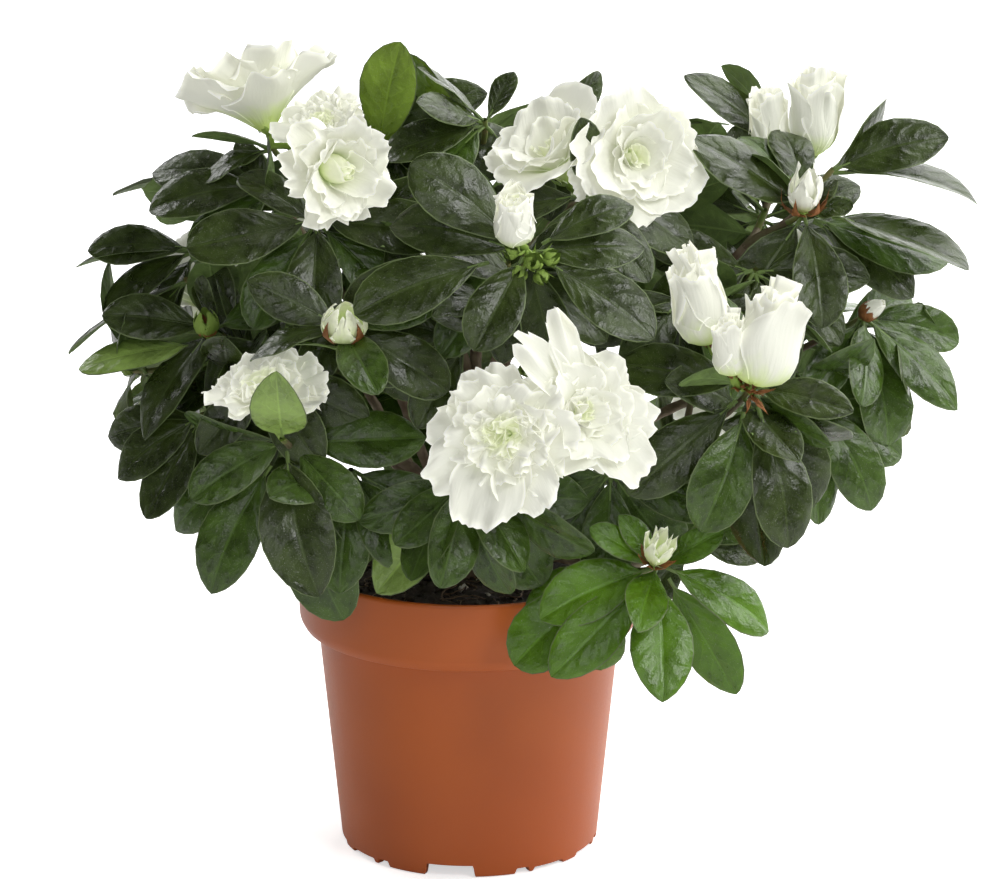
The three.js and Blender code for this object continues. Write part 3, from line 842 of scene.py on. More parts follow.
# Each kind of bloom: its depth from foot to mouth, its half width, the finish of its sepals, the share of a
# petal's length that takes up its turn, how pointed its petals are, and its whorls from the outside in. Each
# whorl has its number of petals, their length, width, angles from the axis at the foot and at the end, curl
# at the tip, ruffle and distance from the axis, and its finish where that isn't the petals' own.
BLOOM_KINDS = {
    "double": (15, 32, "calyx", 0.7, 0.1, [
        (6, 36, 33, 20, 90, 6, 1.2, 1.6),
        (7, 27, 25, 16, 66, 26, 1.9, 1.4),
        (7, 22, 20, 14, 44, 36, 2.2, 1.1),
        (6, 18, 16, 10, 26, 40, 2.3, 0.9),
        (5, 16, 13, 4, 10, 30, 2.1, 0.5, "heart"),
    ]),
    "carnation": (15, 23, "calyx", 0.75, 0.05, [
        (8, 29, 23, 26, 82, 8, 2.2, 1.6),
        (8, 25, 20, 26, 58, 34, 2.6, 1.5),
        (8, 22, 17, 22, 40, 46, 2.8, 1.3),
        (7, 20, 15, 17, 26, 48, 2.9, 1.0),
        (6, 19, 12, 10, 12, 44, 2.8, 0.6, "heart"),
        (3, 18, 8, 2, 2, 30, 2.4, 0.2, "heart"),
    ]),
    "loose": (16, 32, "calyx", 0.7, 0.15, [
        (6, 38, 33, 18, 84, 8, 1.9, 1.6),
        (6, 34, 30, 14, 62, 18, 2.5, 1.4),
        (6, 28, 25, 12, 44, 28, 2.8, 1.1),
        (5, 23, 20, 8, 26, 30, 2.8, 0.8),
        (4, 19, 15, 4, 10, 26, 2.4, 0.4, "heart"),
    ]),
    "funnel": (27, 25, "calyx", 0.8, 0.1, [
        (5, 40, 38, 20, 60, 16, 1.4, 1.6),
        (5, 37, 34, 13, 44, 18, 1.7, 1.3),
        (4, 32, 27, 8, 28, 20, 2.0, 0.9),
        (2, 24, 15, 3, 8, 20, 1.8, 0.4, "heart"),
    ]),
    "open": (25, 27, "calyx", 0.5, 0.15, [
        (6, 36, 34, 40, 52, 14, 2.4, 1.6),
        (6, 34, 30, 30, 42, 20, 2.6, 1.3),
        (5, 29, 25, 20, 30, 22, 2.5, 0.9),
        (4, 23, 18, 8, 16, 22, 2.3, 0.5, "heart"),
    ]),
    "cup": (22, 24, "calyx", 0.7, 0.1, [
        (6, 36, 29, 34, 42, 34, 2.4, 1.6),
        (6, 31, 26, 34, 22, 26, 2.0, 1.3),
        (5, 27, 24, 44, -20, -10, 0.7, 1.0, "heart"),
        (4, 25, 20, 38, -24, -12, 0.6, 0.7, "heart"),
    ]),
    "tulip": (31, 14, "scale", 0.52, 0.08, [
        (5, 36, 30, 82, -19, 26, 1.6, 1.0),
        (5, 37, 28, 72, -22, 24, 2.0, 0.8),
        (5, 38, 23, 56, -20, 22, 2.4, 0.5),
        (4, 37, 18, 34, -12, 18, 2.4, 0.3),
    ]),
    "rosebud": (17, 9, "scale", 0.5, 0.05, [
        (5, 22, 20, 86, -8, 12, 1.7, 1.0),
        (5, 22, 18, 72, -12, 14, 1.9, 0.7),
        (4, 20, 14, 50, -10, 10, 1.9, 0.4),
        (3, 18, 10, 24, -2, 8, 1.7, 0.2, "heart"),
    ]),
    "trumpet": (30, 11, "calyx", 0.55, 0.02, [
        (5, 34, 25, 58, -6, 14, 1.5, 0.9),
        (5, 35, 23, 46, -8, 14, 1.7, 0.7),
        (4, 33, 18, 30, -6, 12, 1.8, 0.4),
    ]),
}
GUARD = (24, 80, 8, 2.1)  # an outer petal's angles from the axis, its curl and its ruffle
SEPAL = (7, 3.4, 40, 22, 10, 0.2, 1.3, 0.75, 0.8)


def bloom(petals, greens, mouth, axis, kind, size, name, stalk_from, guards=()):
    """One bloom with its outer petals, its calyx and its stalk."""
    sepals, turned_by, pointed, whorls = BLOOM_KINDS[kind][2:]
    rng = dice("bloom", name)
    base = bloom_foot(mouth, axis, kind, size)
    for count, length, width, start, end, curl, ruffle, ring, *finish in whorls:
        first = rng.uniform(0, AROUND)
        for number in range(count):
            turn = first + 2 * math.pi * (number + rng.uniform(-0.16, 0.16)) / count
            tip = end + rng.uniform(-11, 11)
            grown = size * rng.uniform(0.9, 1.08)
            shape = (length * grown, width * grown, start, tip, curl * rng.uniform(0.2, 1.5),
                     ruffle * size, ring * size, turned_by, pointed * rng.uniform(0.5, 1.5))
            petal(petals, base, axis, turn, shape, *finish or ["petal"], rng)
    for clock, length, width in guards:
        start, end, curl, ruffle = GUARD
        shape = (length, width, start, end, curl, ruffle, 1.7 * size, turned_by)
        petal(petals, base - axis, axis, math.radians(clock), shape, "petal", rng)
    for number in range(5):
        petal(greens, base - axis, axis, number * 1.2566 + 0.4, SEPAL, sepals, rng, fine=False)
    stalk(greens, base, axis, stalk_from)


def stalk(greens, base, axis, start, thick=1.5):
    """A green flower stalk from a shoot's tip to the foot of a bloom."""
    reach = max(np.linalg.norm(base - start), 4.0)
    guides = [start, mix(start, base, 0.3), base - axis * reach * 0.4, base + axis]
    line = curve(guides, 6)
    greens.add(*tube(line, np.linspace(0.75, 1, len(line)) * thick, 7), PETAL_FINISHES.index("calyx"))


# Each kind of bud: its whorls as for a bloom, at a length of 10.
BUD_KINDS = {
    "scaled": [
        (5, 10, 6.5, 40, -30, 0, 0.1, 0.6, 0.3, "petal"),
        (6, 7.0, 6.0, 50, -22, 0, 0.05, 1.0, 0.6, "scale"),
    ],
    "pale": [
        (5, 11, 7.4, 70, -42, -14, 0.1, 0.8, 0.5, "heart"),
        (4, 10.5, 6.4, 84, -44, -10, 0.1, 1.0, 0.5, "heart"),
        (4, 8.6, 4.4, 88, -24, 0, 0.05, 1.3, 0.7, "scale"),
        (4, 4.6, 4.0, 88, 10, 10, 0.05, 1.4, 0.7, "calyx"),
    ],
    "white": [
        (4, 11, 8, 52, -24, 2, 0.4, 0.6, 0.6, "petal"),
        (3, 12.5, 6.4, 34, -16, 6, 0.4, 0.3, 0.6, "petal"),
        (6, 8.4, 2.6, 84, -16, 30, 0.1, 1.1, 0.8, "scale"),
        (5, 5, 2.4, 84, 30, 20, 0.1, 1.2, 0.8, "scale"),
    ],
    "opening": [
        (5, 10, 5.6, 44, -8, 10, 0.4, 0.8, 0.5, "heart"),
        (5, 11, 5, 26, -8, 8, 0.4, 0.5, 0.5, "heart"),
        (7, 5.4, 3.4, 76, 22, 20, 0.1, 1.0, 0.7, "scale"),
    ],
    "husk": [
        (4, 11, 3.4, 50, 34, 30, 0.4, 0.5, 0.8, "scale"),
        (3, 8, 3.0, 30, 10, 20, 0.4, 0.3, 0.8, "scale"),
    ],
    "sheathed": [
        (5, 11, 6.4, 56, -28, -12, 0.05, 0.5, 0.4, "calyx"),
        (4, 8, 5, 60, -22, -8, 0.05, 0.7, 0.6, "scale"),
        (4, 5, 4, 60, 0, 0, 0.05, 0.9, 0.6, "calyx"),
    ],
    "green": [
        (4, 10, 6.6, 64, -32, -14, 0.1, 0.5, 0.5, "calyx"),
        (4, 9, 5.6, 76, -28, 0, 0.1, 0.8, 0.6, "calyx"),
        (2, 9, 2.0, 60, 20, 20, 0.05, 1.0, 0.8, "calyx"),
    ],
}


RULE_BUDS = (("green", 6), ("green", 7), ("pale", 11))  # the buds of the rule, with their lengths


def bud(sheets, base, axis, kind, length, name):
    """One bud of overlapping petals and scales."""
    rng = dice("bud", name)
    size = length / 10
    for count, long, width, start, end, curl, ruffle, ring, pointed, finish in BUD_KINDS[kind]:
        first = rng.uniform(0, AROUND)
        for number in range(count):
            turn = first + 2 * math.pi * number / count
            shape = (long * size, width * size, start, end, curl, ruffle * size, ring * size, 0.9, pointed)
            petal(sheets, base, axis, turn, shape, finish, rng, fine=False)


def nearest_tip(point):
    return min((shoot["tip"] for shoot in shoots()), key=lambda tip: np.linalg.norm(tip - point))


# ---- Shader groups and materials ----


def node(tree, kind, inputs=None, **settings):
    """A node with its settings and its inputs, each a plain value or another node's output."""
    made = tree.nodes.new(kind)
    for key, value in settings.items():
        setattr(made, key, value)
    for key, value in (inputs or {}).items():
        if isinstance(value, bpy.types.NodeSocket):
            tree.links.new(value, made.inputs[key])
        else:
            made.inputs[key].default_value = value
    return made


def maths(tree, operation, *values):
    return node(tree, "ShaderNodeMath", dict(enumerate(values)), operation=operation).outputs[0]


def link(tree, target, **values):
    """Links each value into the target's input of that name."""
    for label, value in values.items():
        tree.links.new(value, target.inputs[label.replace("_", " ")])


def ramp(tree, value, low, high):
    """0 where the value is low and 1 where it is high, in an even curve."""
    inputs = {"Value": value, "From Min": low, "From Max": high}
    return node(tree, "ShaderNodeMapRange", inputs, interpolation_type="SMOOTHSTEP").outputs["Result"]


def blend(tree, share, first, second):
    """A colour between two colours."""
    inputs = {"Factor": share, 6: first, 7: second}
    return node(tree, "ShaderNodeMix", inputs, data_type="RGBA").outputs[2]


def new_group(name, inputs, outputs):
    """An empty shader group with plain number inputs and outputs."""
    tree = bpy.data.node_groups.new(name, "ShaderNodeTree")
    for label, default in inputs.items():
        socket = tree.interface.new_socket(label, in_out="INPUT", socket_type="NodeSocketFloat")
        socket.default_value = default
    for label in outputs:
        tree.interface.new_socket(label, in_out="OUTPUT", socket_type="NodeSocketFloat")
    entry = node(tree, "NodeGroupInput")
    leaving = node(tree, "NodeGroupOutput")
    return tree, entry, leaving


def place_in_tile(tree):
    """A sheet's own place: along it and across it from 0 to 1, and the place map that it came from."""
    uv = node(tree, "ShaderNodeUVMap", uv_map="places").outputs["UV"]
    tiles = node(tree, "ShaderNodeVectorMath", {0: uv, 1: (TILES,) * 3}, operation="MULTIPLY").outputs[0]
    own = node(tree, "ShaderNodeVectorMath", {0: tiles}, operation="FRACTION").outputs[0]
    parts = node(tree, "ShaderNodeSeparateXYZ", {0: own})
    along = ramp(tree, parts.outputs[0], TILE_EDGE, 1 - TILE_EDGE)
    along.node.interpolation_type = "LINEAR"
    side = maths(tree, "SUBTRACT", parts.outputs[1], 0.5)
    side = maths(tree, "MULTIPLY", side, 2 / (1 - 2 * TILE_EDGE))
    return along, side, tiles


@functools.cache
def leaf_relief():
    """Quilting between a leaf's side veins: outputs its height, its veins, a slow mottle and dust."""
    outputs = ("Height", "Vein", "Mottle", "Dust")
    tree, entry, leaving = new_group("leaf_relief", {"Veins": 7.0, "Slant": 1.7}, outputs)
    along, side, tiles = place_in_tile(tree)
    away = maths(tree, "ABSOLUTE", side)
    tile = node(tree, "ShaderNodeVectorMath", {0: tiles}, operation="FLOOR").outputs[0]
    size = {0: maths(tree, "MULTIPLY", along, 4.0), 1: side}
    own = node(tree, "ShaderNodeCombineXYZ", size).outputs[0]
    spread = {0: tile, 1: (7.3,) * 3, 2: own}
    place = node(tree, "ShaderNodeVectorMath", spread, operation="MULTIPLY_ADD").outputs[0]
    slow, dimple, dust, speck = (
        node(tree, "ShaderNodeTexNoise", {"Vector": place, "Scale": scale, "Detail": 2.0}).outputs["Fac"]
        for scale in (1.0, 3.4, 14.0, 26.0)
    )
    run = maths(tree, "MULTIPLY", along, entry.outputs["Veins"])
    run = maths(tree, "SUBTRACT", run, maths(tree, "MULTIPLY", away, entry.outputs["Slant"]))
    run = maths(tree, "MULTIPLY_ADD", dimple, 0.7, run)
    part = maths(tree, "ABSOLUTE", maths(tree, "SUBTRACT", maths(tree, "FRACT", run), 0.5))
    vein = maths(tree, "MULTIPLY", ramp(tree, part, 0.455, 0.5), ramp(tree, away, 0.95, 0.5))
    pillow = maths(tree, "MULTIPLY", ramp(tree, part, 0.5, 0.1), ramp(tree, away, 0.0, 0.4))
    middle = ramp(tree, away, 0.07, 0.0)
    height = maths(tree, "MULTIPLY_ADD", pillow, 0.32, maths(tree, "MULTIPLY", slow, 1.6))
    height = maths(tree, "SUBTRACT", height, maths(tree, "MULTIPLY", middle, 0.4))
    height = maths(tree, "MULTIPLY_ADD", dimple, 0.75, height)
    height = maths(tree, "MULTIPLY_ADD", dust, 0.26, height)
    both = maths(tree, "MAXIMUM", maths(tree, "MULTIPLY", vein, 0.7), middle)
    mottle = maths(tree, "MULTIPLY_ADD", dimple, 0.3, maths(tree, "MULTIPLY", slow, 0.7))
    specks = maths(tree, "MULTIPLY", ramp(tree, speck, 0.62, 0.74), slow)
    link(tree, leaving, Height=height, Vein=both, Mottle=mottle, Dust=specks)
    return tree


@functools.cache
def petal_relief():
    """Fine creases along a petal: outputs their height, the throat's share, the body's and the thin rim. The
    body's share dims the petals' painted glow towards the foot as painted shade, and the thin rim takes a
    painted highlight.
    """
    tree, entry, leaving = new_group("petal_relief", {"Throat": 0.4}, ("Height", "Throat", "Body", "Rim"))
    along, side, tiles = place_in_tile(tree)
    fan = maths(tree, "MULTIPLY", side, 9.0)
    spread = node(tree, "ShaderNodeCombineXYZ", {0: maths(tree, "MULTIPLY", along, 2.2), 1: fan}).outputs[0]
    shift = node(tree, "ShaderNodeVectorMath", {0: spread, 1: tiles}, operation="ADD").outputs[0]
    noise = node(tree, "ShaderNodeTexNoise", {"Vector": shift, "Scale": 1.0, "Detail": 4.0}).outputs["Fac"]
    soft = node(tree, "ShaderNodeTexNoise", {"Vector": tiles, "Scale": 5.0, "Detail": 2.0}).outputs["Fac"]
    reach = maths(tree, "MULTIPLY", entry.outputs["Throat"], maths(tree, "ADD", soft, 0.5))
    ratio = maths(tree, "DIVIDE", along, reach)
    away = maths(tree, "ABSOLUTE", side)
    rim = maths(tree, "MAXIMUM", ramp(tree, along, 0.9, 1.0), ramp(tree, away, 0.9, 1.0))
    throat, body = ramp(tree, ratio, 1.0, 0.05), ramp(tree, along, 0.1, 0.85)
    link(tree, leaving, Height=noise, Throat=throat, Body=body, Rim=rim)
    return tree


@functools.cache
def grain():
    """Fine and broad unevenness through a solid: outputs both, from 0 to 1."""
    tree, entry, leaving = new_group("grain", {"Fine": 900.0, "Broad": 25.0}, ("Fine", "Broad"))
    place = node(tree, "ShaderNodeTexCoord").outputs["Object"]
    for label, detail in (("Fine", 4.0), ("Broad", 2.0)):
        inputs = {"Vector": place, "Scale": entry.outputs[label], "Detail": detail}
        link(tree, leaving, **{label: node(tree, "ShaderNodeTexNoise", inputs).outputs["Fac"]})
    return tree


def new_material(name, **constants):
    """A material whose plain values are set on its shader's own sockets."""
    material = bpy.data.materials.new(name)
    material.use_nodes = True
    tree = material.node_tree
    shader = tree.nodes["Principled BSDF"]
    for key, value in constants.items():
        shader.inputs[key.replace("_", " ")].default_value = value
    return material, tree, shader


def surface(tree, shader, colour, height, depth, mask, roughness, spread):
    """Links a colour, a bump as deep as told in metres, and a roughness that spreads with a mask."""
    bump = node(tree, "ShaderNodeBump", {"Height": height, "Distance": depth, "Strength": 1.0})
    rough = maths(tree, "MULTIPLY_ADD", mask, spread, roughness - spread / 2)
    link(tree, shader, Base_Color=colour, Roughness=rough, Normal=bump.outputs["Normal"])


def opaque(colour):
    return (*colour, 1.0)


def scaled(colour, share):
    return [part * share for part in colour]


DUST = (0.36, 0.37, 0.3)
GLOSSY = 0.31  # the roughness of a leaf's upper side
LEAF_ROUGHNESS = {"underside": 0.6, "rib": 0.45, "margin": 0.5}
# the colour of a painted highlight: a petal's glow brightens to it along its thin rim
PAINTED_RIM_HIGHLIGHT = (1.6, 1.6, 1.5)


def leaf_material(name, colour, vein, roughness, relief, shade):
    """One leaf tint: paler in its veins, mottled down to a share of its colour, and quilted."""
    material, tree, shader = new_material(name, IOR=1.48)
    group = node(tree, "ShaderNodeGroup", node_tree=leaf_relief())
    height, vein_mask, mottle, dust = group.outputs
    dark, light = opaque(scaled(colour, shade)), opaque(scaled(colour, 1.12))
    base = blend(tree, ramp(tree, mottle, 0.34, 0.66), dark, light)
    base = blend(tree, maths(tree, "MULTIPLY", vein_mask, 0.5), base, opaque(vein))
    base = blend(tree, dust, base, opaque(DUST))
    surface(tree, shader, base, height, 0.0004 * relief, mottle, roughness, 0.5)
    return material


def petal_material(name, colour, throat_colour, throat, roughness=0.55, glow=0.23):
    """A petal finish: its own colour at the edge and the throat's towards the foot. A finish with a glow also
    gives off painted light in place of the light that comes through the petals: dimmer and throat-tinted
    towards the foot as painted shade, and brightening at the thin rim as a painted highlight.
    """
    material, tree, shader = new_material(name, IOR=1.35, Emission_Strength=glow)
    group = node(tree, "ShaderNodeGroup", node_tree=petal_relief())
    group.inputs["Throat"].default_value = throat
    height, throat_mask, body, rim = group.outputs
    base = blend(tree, throat_mask, opaque(colour), opaque(throat_colour))
    # painted light: the petals glow in place of light through them, dimmed towards the foot as painted shade
    # and brightened to white at the rim as a painted highlight
    if glow:
        painted_glow_colour = blend(tree, body, opaque(scaled(throat_colour, 0.25)), opaque(colour))
        link(tree, shader, Emission_Color=blend(tree, rim, painted_glow_colour, opaque(PAINTED_RIM_HIGHLIGHT)))
    surface(tree, shader, base, height, 0.0003, height, roughness, 0.2)
    return material


def grained_material(name, colour, other, fine, broad, depth, roughness, **constants):
    """A solid finish whose colour drifts between two tones, with a fine grain."""
    material, tree, shader = new_material(name, **constants)
    group = node(tree, "ShaderNodeGroup", node_tree=grain())
    group.inputs["Fine"].default_value = fine
    group.inputs["Broad"].default_value = broad
    fine_mask, broad_mask = group.outputs
    base = blend(tree, ramp(tree, broad_mask, 0.3, 0.7), opaque(colour), opaque(other))
    surface(tree, shader, base, fine_mask, depth, fine_mask, roughness, 0.16)
    return material


# ---- Settings ----


def colour_property(name, description, default):
    return FloatVectorProperty(name=name, description=description, default=default, size=3, min=0, max=1,
                               subtype="COLOR")


def millimetres(name, description, default, low, high):
    return FloatProperty(name=name, description=description, default=default, min=low, max=high)


class AzaleaLeafSettings(bpy.types.PropertyGroup):
    deep: colour_property("Deep green", "Colour of most of the leaves", (0.036, 0.058, 0.007))
    mid: colour_property("Middle green", "Colour of the lower leaves", (0.056, 0.108, 0.010))
    fresh: colour_property("Fresh green", "Colour of the low front spray", (0.083, 0.185, 0.005))
    young: colour_property("Young green", "Colour of the leaves at the top", (0.21, 0.33, 0.028))
    pale: colour_property("Pale green", "Colour of a few leaves turned over", (0.26, 0.39, 0.085))
    underside: colour_property("Underside", "Colour of the leaves' undersides", (0.17, 0.26, 0.07))
    rib: colour_property("Rib", "Colour of the stalks and midribs", (0.13, 0.2, 0.045))
    # The margin's pale colour is partly the leaf's own pale edge and partly a painted highlight along the
    # rim.
    margin: colour_property("Margin", "Colour of the leaves' edges", (0.12, 0.165, 0.055))


class AzaleaBloomSettings(bpy.types.PropertyGroup):
    petal: colour_property("Petal", "Colour of the petals", (0.72, 0.725, 0.635))
    throat: colour_property("Throat", "Colour of the throat", (0.6, 0.76, 0.2))
    calyx: colour_property("Calyx", "Colour of the flower stalks and green buds", (0.25, 0.37, 0.07))
    scale: colour_property("Scale", "Colour of the bud scales", (0.3, 0.12, 0.04))
    back_blooms: IntProperty(name="Blooms behind", description="Number of blooms on the sides and back",
                             default=11, min=0, max=40)


class AzaleaPotSettings(bpy.types.PropertyGroup):
    plastic: colour_property("Plastic", "Colour of the pot", (0.45, 0.095, 0.009))
    band: millimetres("Rim band", "Height of the rim band in millimetres", 24, 10, 40)
    wall: millimetres("Wall", "Thickness of the wall in millimetres", 1.5, 0.8, 3)
    floor_level: millimetres("Floor level", "Height of the floor in millimetres", 5.5, 3, 12)
    peat: colour_property("Peat", "Colour of the damp peat", (0.018, 0.012, 0.008))


class AzaleaStageSettings(bpy.types.PropertyGroup):
    floor: colour_property("Floor", "Colour of the floor", (0.9, 0.9, 0.9))
    light: FloatProperty(name="Light", description="Strength of the studio light",
                         default=1.0, min=0.1, max=5)
    rise: FloatProperty(name="Camera rise", description="The camera's angle above the horizon",
                        default=math.radians(16.5), subtype="ANGLE", unit="ROTATION")
    distance: FloatProperty(name="Camera distance", description="From the plant to the camera", default=1.8,
                            subtype="DISTANCE", unit="LENGTH")


# ---- Pot and peat ----

NOTCH_BEARING = -98.5
NOTCH_SECTORS = 3
# The foot ring's notches in a sector, each with its bearing from the sector's middle, width and height.
NOTCHES = ((0, 17, 4.2), (33, 5, 1.9), (-33, 5, 1.9), (47, 13, 1.3), (-47, 13, 1.3))
NOTCH_SLOPE = 0.5
FOOT_ZONE = 7.0  # the notches are cut into this height of the foot ring


def rounded(corners, steps=4):
    """A profile through corners, each (radius, height, fillet), with an arc at every fillet."""
    points = []
    count = len(corners)
    for i, (r, z, fillet) in enumerate(corners):
        here = np.array([r, z], float)
        if not fillet or i in (0, count - 1):
            points.append(here)
            continue
        before = np.array(corners[i - 1][:2], float) - here
        after = np.array(corners[i + 1][:2], float) - here
        cut = min(fillet, np.linalg.norm(before) * 0.45, np.linalg.norm(after) * 0.45)
        a, b = here + unit(before) * cut, here + unit(after) * cut
        for t in np.linspace(0, 1, steps + 1):
            points.append(a * (1 - t) ** 2 + 2 * here * t * (1 - t) + b * t * t)
    return np.array(points)


def notches():
    """Every notch of the foot ring: the bearing of its middle, its width and its height."""
    for sector in range(NOTCH_SECTORS):
        for bearing, wide, high in NOTCHES:
            yield math.radians(NOTCH_BEARING + sector * 360 / NOTCH_SECTORS + bearing), wide, high


def pot_bearings(foot_radius):
    """Even bearings round the pot, with more at the edges of the notches."""
    found = list(np.linspace(0, 2 * math.pi, 160, endpoint=False))
    for middle, wide, _ in notches():
        for off in (-NOTCH_SLOPE, -0.17, 0.17, NOTCH_SLOPE):
            found += [middle + (wide / 2 + off) / foot_radius, middle - (wide / 2 + off) / foot_radius]
    found = np.sort(np.array(found) % (2 * math.pi))
    return found[np.diff(found, append=9) > 1e-4]


def notch_lift(bearings, foot_radius):
    """How far the foot ring's lower edge is lifted on each bearing, by its notches."""
    lift = np.zeros(len(bearings))
    for middle, wide, high in notches():
        off = np.abs((bearings - middle + math.pi) % (2 * math.pi) - math.pi) * foot_radius
        lift = np.maximum(lift, high * smooth(wide / 2 + NOTCH_SLOPE, wide / 2 - NOTCH_SLOPE, off))
    return lift


def build_pot(settings):
    """The pot, turned from its profile, with the notches in its foot."""
    rim, height = POT_RADIUS, POT_HEIGHT
    wall, floor_level = settings.wall, settings.floor_level
    band_level = height - settings.band
    band, body, base, hub = rim - 0.7, 53, 45, 10
    taper = (body - base) / band_level
    levels = (1.4, 3, 5, FOOT_ZONE, 7.6, 9, 14, 30, 50, 70, band_level - 1.4)
    sides = [(base + taper * z, z, 0) for z in levels]
    corners = [
        (0.4, 0, 0), (hub, 0, 1), (hub + 0.7, floor_level, 0.6), (base - 2 * wall, floor_level, 0.4),
        (base - 2 * wall, 0, 0.4), (base, 0, 0.9), *sides,
        (body, band_level - 0.5, 0.5), (band - 1.6, band_level - 0.4, 0.5), (band, band_level + 2.4, 2.2),
        (mix(band, rim, 0.5), height - settings.band / 2, 0), (rim, height - 1.2, 0.9),
        (rim - 0.4, height, 0.5), (rim - wall, height, 0.5), (band - wall, band_level + wall, 1.6),
        (body - wall, band_level + wall, 1.6), (base - wall, floor_level + wall, 1.2),
        (0.4, floor_level + wall, 0),
    ]
    profile = rounded(corners)
    bearings = pot_bearings(base)
    lift = notch_lift(bearings, base)
    r, z = profile[:, 0][:, None], profile[:, 1][:, None]
    foot = (r > base - 2 * wall - 0.5) & (z < FOOT_ZONE)
    outer = np.arange(len(profile))[:, None] < len(profile) - 6
    high = np.where(foot & outer, lift + z * (1 - lift / FOOT_ZONE), z)
    wide = np.where(foot & outer, r + taper * (high - z), r)
    points = np.stack([wide * np.cos(bearings), wide * np.sin(bearings), high], -1)
    sheets = Sheets()
    sheets.add(points.reshape(-1, 3), grid_faces(len(profile), len(bearings), closed=True), 0)
    colour = list(settings.plastic)
    deeper = [colour[0] * 0.86, *scaled(colour[1:], 0.8)]
    plastic = grained_material("terracotta_plastic", colour, deeper, 1400, 14, 0.00002, 0.4, IOR=1.46)
    return sheets.build("nursery_pot", [plastic], "pot_plastic", "pot")


CRUMBS, FINE_ROOTS = 420, 90
GRIT_SHARE = 0.04  # of the crumbs


def within(radius, share, rng):
    """A random spot within a share of a circle's radius."""
    reach, turn = radius * math.sqrt(rng.random()) * share, rng.uniform(0, AROUND)
    return reach * math.cos(turn), reach * math.sin(turn)


def build_peat(settings):
    """The peat with its crumbs, grit and fine roots."""
    low, high = (np.array(corner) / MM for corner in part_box("root_ball"))
    level, top = PEAT_LEVEL - 1.0, high[0] - 0.2
    rng = dice("peat")
    sheets = Sheets()
    rings = np.concatenate([[0.3], np.linspace(0.02, 1, 70)[1:] * top])
    bearings = np.linspace(0, 2 * math.pi, 220, endpoint=False)
    round_about = np.stack([np.cos(bearings), np.sin(bearings)], -1)
    surface = (rings[:, None, None] * round_about).reshape(-1, 2)
    rough = 0.8 * waves(surface, 9, "clods") + 0.55 * waves(surface, 2.6, "crumbs", 40)
    rough += 0.3 * waves(surface, 1.1, "grit", 60)
    edge = np.linalg.norm(surface, axis=1)
    rough = rough - 1.2 * smooth(top - 7, top, edge) + 0.9 * smooth(16, 7, edge)
    points = np.column_stack([surface, level + np.clip(rough, -2.2, 1.6)])
    sheets.add(points, grid_faces(len(rings), len(bearings), closed=True), 0)
    wall = [(top, level - 1.3), (top, 82), (51, 82), (43, low[2]), (0.3, low[2])]
    r, z = (np.array(part)[:, None] for part in zip(*wall))
    coarse = bearings[::4]
    sides = np.stack([r * np.cos(coarse), r * np.sin(coarse), np.broadcast_to(z, (len(r), len(coarse)))], -1)
    sheets.add(sides.reshape(-1, 3), grid_faces(len(wall), len(coarse), closed=True), 0)
    for _ in range(CRUMBS):
        spot = within(top, 0.97, rng)
        size = rng.uniform(0.5, 1.9) * (0.6 + rng.random())
        middle = np.array([*spot, level + rng.uniform(-0.3, 0.8)])
        line = middle + np.outer(np.linspace(-1, 1, 5), unit(rng.normal(size=3) * [1, 1, 0.3])) * size
        crumb, faces = tube(line, size * np.array([0.15, 0.7, 0.85, 0.6, 0.12]), 6)
        crumb += 0.12 * size * rng.normal(size=crumb.shape)
        sheets.add(crumb, faces, 1 if rng.random() < GRIT_SHARE else 0)
    for _ in range(FINE_ROOTS):
        point = np.array([*within(top, 0.95, rng), level + 0.9])
        way = rng.uniform(0, AROUND)
        line = [point]
        for _ in range(rng.integers(7, 15)):
            way += rng.normal() * 0.5
            step = np.array([math.cos(way), math.sin(way), rng.normal() * 0.18]) * 1.4
            point = point + step
            point[2] = np.clip(point[2], level + 0.4, level + 2)
            if np.linalg.norm(point[:2]) > top - 1:
                break
            line.append(point)
        if len(line) > 4:
            sheets.add(*tube(np.array(line), np.full(len(line), rng.uniform(0.13, 0.3)), 5), 2)
    peat = grained_material("damp_peat", settings.peat, scaled(settings.peat, 2.6), 1600, 160, 0.0005, 0.85)
    grit = grained_material("pale_grit", (0.5, 0.47, 0.42), (0.3, 0.27, 0.22), 900, 90, 0.0002, 0.8)
    root = grained_material("fine_root", (0.19, 0.12, 0.07), (0.09, 0.055, 0.03), 900, 90, 0.0001, 0.7)
    return sheets.build("peat_surface", [peat, grit, root], "peat", "root_ball")


# ---- Wood ----


def bark(line, radii, sides, seed):
    """A limb with lengthwise furrows and the rings of old leaf scars."""
    points, faces = tube(line, radii, sides)
    centre = np.repeat(line, sides, axis=0)
    along = np.repeat(lengths_along(line), sides)
    turn = np.tile(np.linspace(0, 2 * math.pi, sides, endpoint=False), len(line))
    rng = dice("bark", seed)
    sway = 1.2 * np.sin(along / 5 + rng.uniform(0, AROUND))
    furrow = np.abs(np.sin(turn * 2.5 + sway + rng.uniform(0, AROUND)))
    scar = np.exp(-(((along + 3 * np.sin(turn)) % 7.5 - 3.7) ** 2))
    rough = 0.09 * (furrow - 0.6) + 0.09 * scar + 0.05 * waves(points, 2.2, seed, 12)
    return centre + (points - centre) * (1 + rough)[:, None], faces


def finely(line, radii, step):
    """A line and its radii with a point every step, in millimetres."""
    lengths = lengths_along(line)
    places = np.linspace(0, lengths[-1], max(int(lengths[-1] / step), 3) + 1)
    fine = np.stack([np.interp(places, lengths, line[:, k]) for k in range(3)], -1)
    kernel = np.array([0.25, 0.5, 0.25])
    for _ in range(3):
        inner = np.stack([np.convolve(fine[:, k], kernel, "valid") for k in range(3)], -1)
        fine = np.concatenate([fine[:1], inner, fine[-1:]])
    return fine, np.interp(places, lengths, radii)


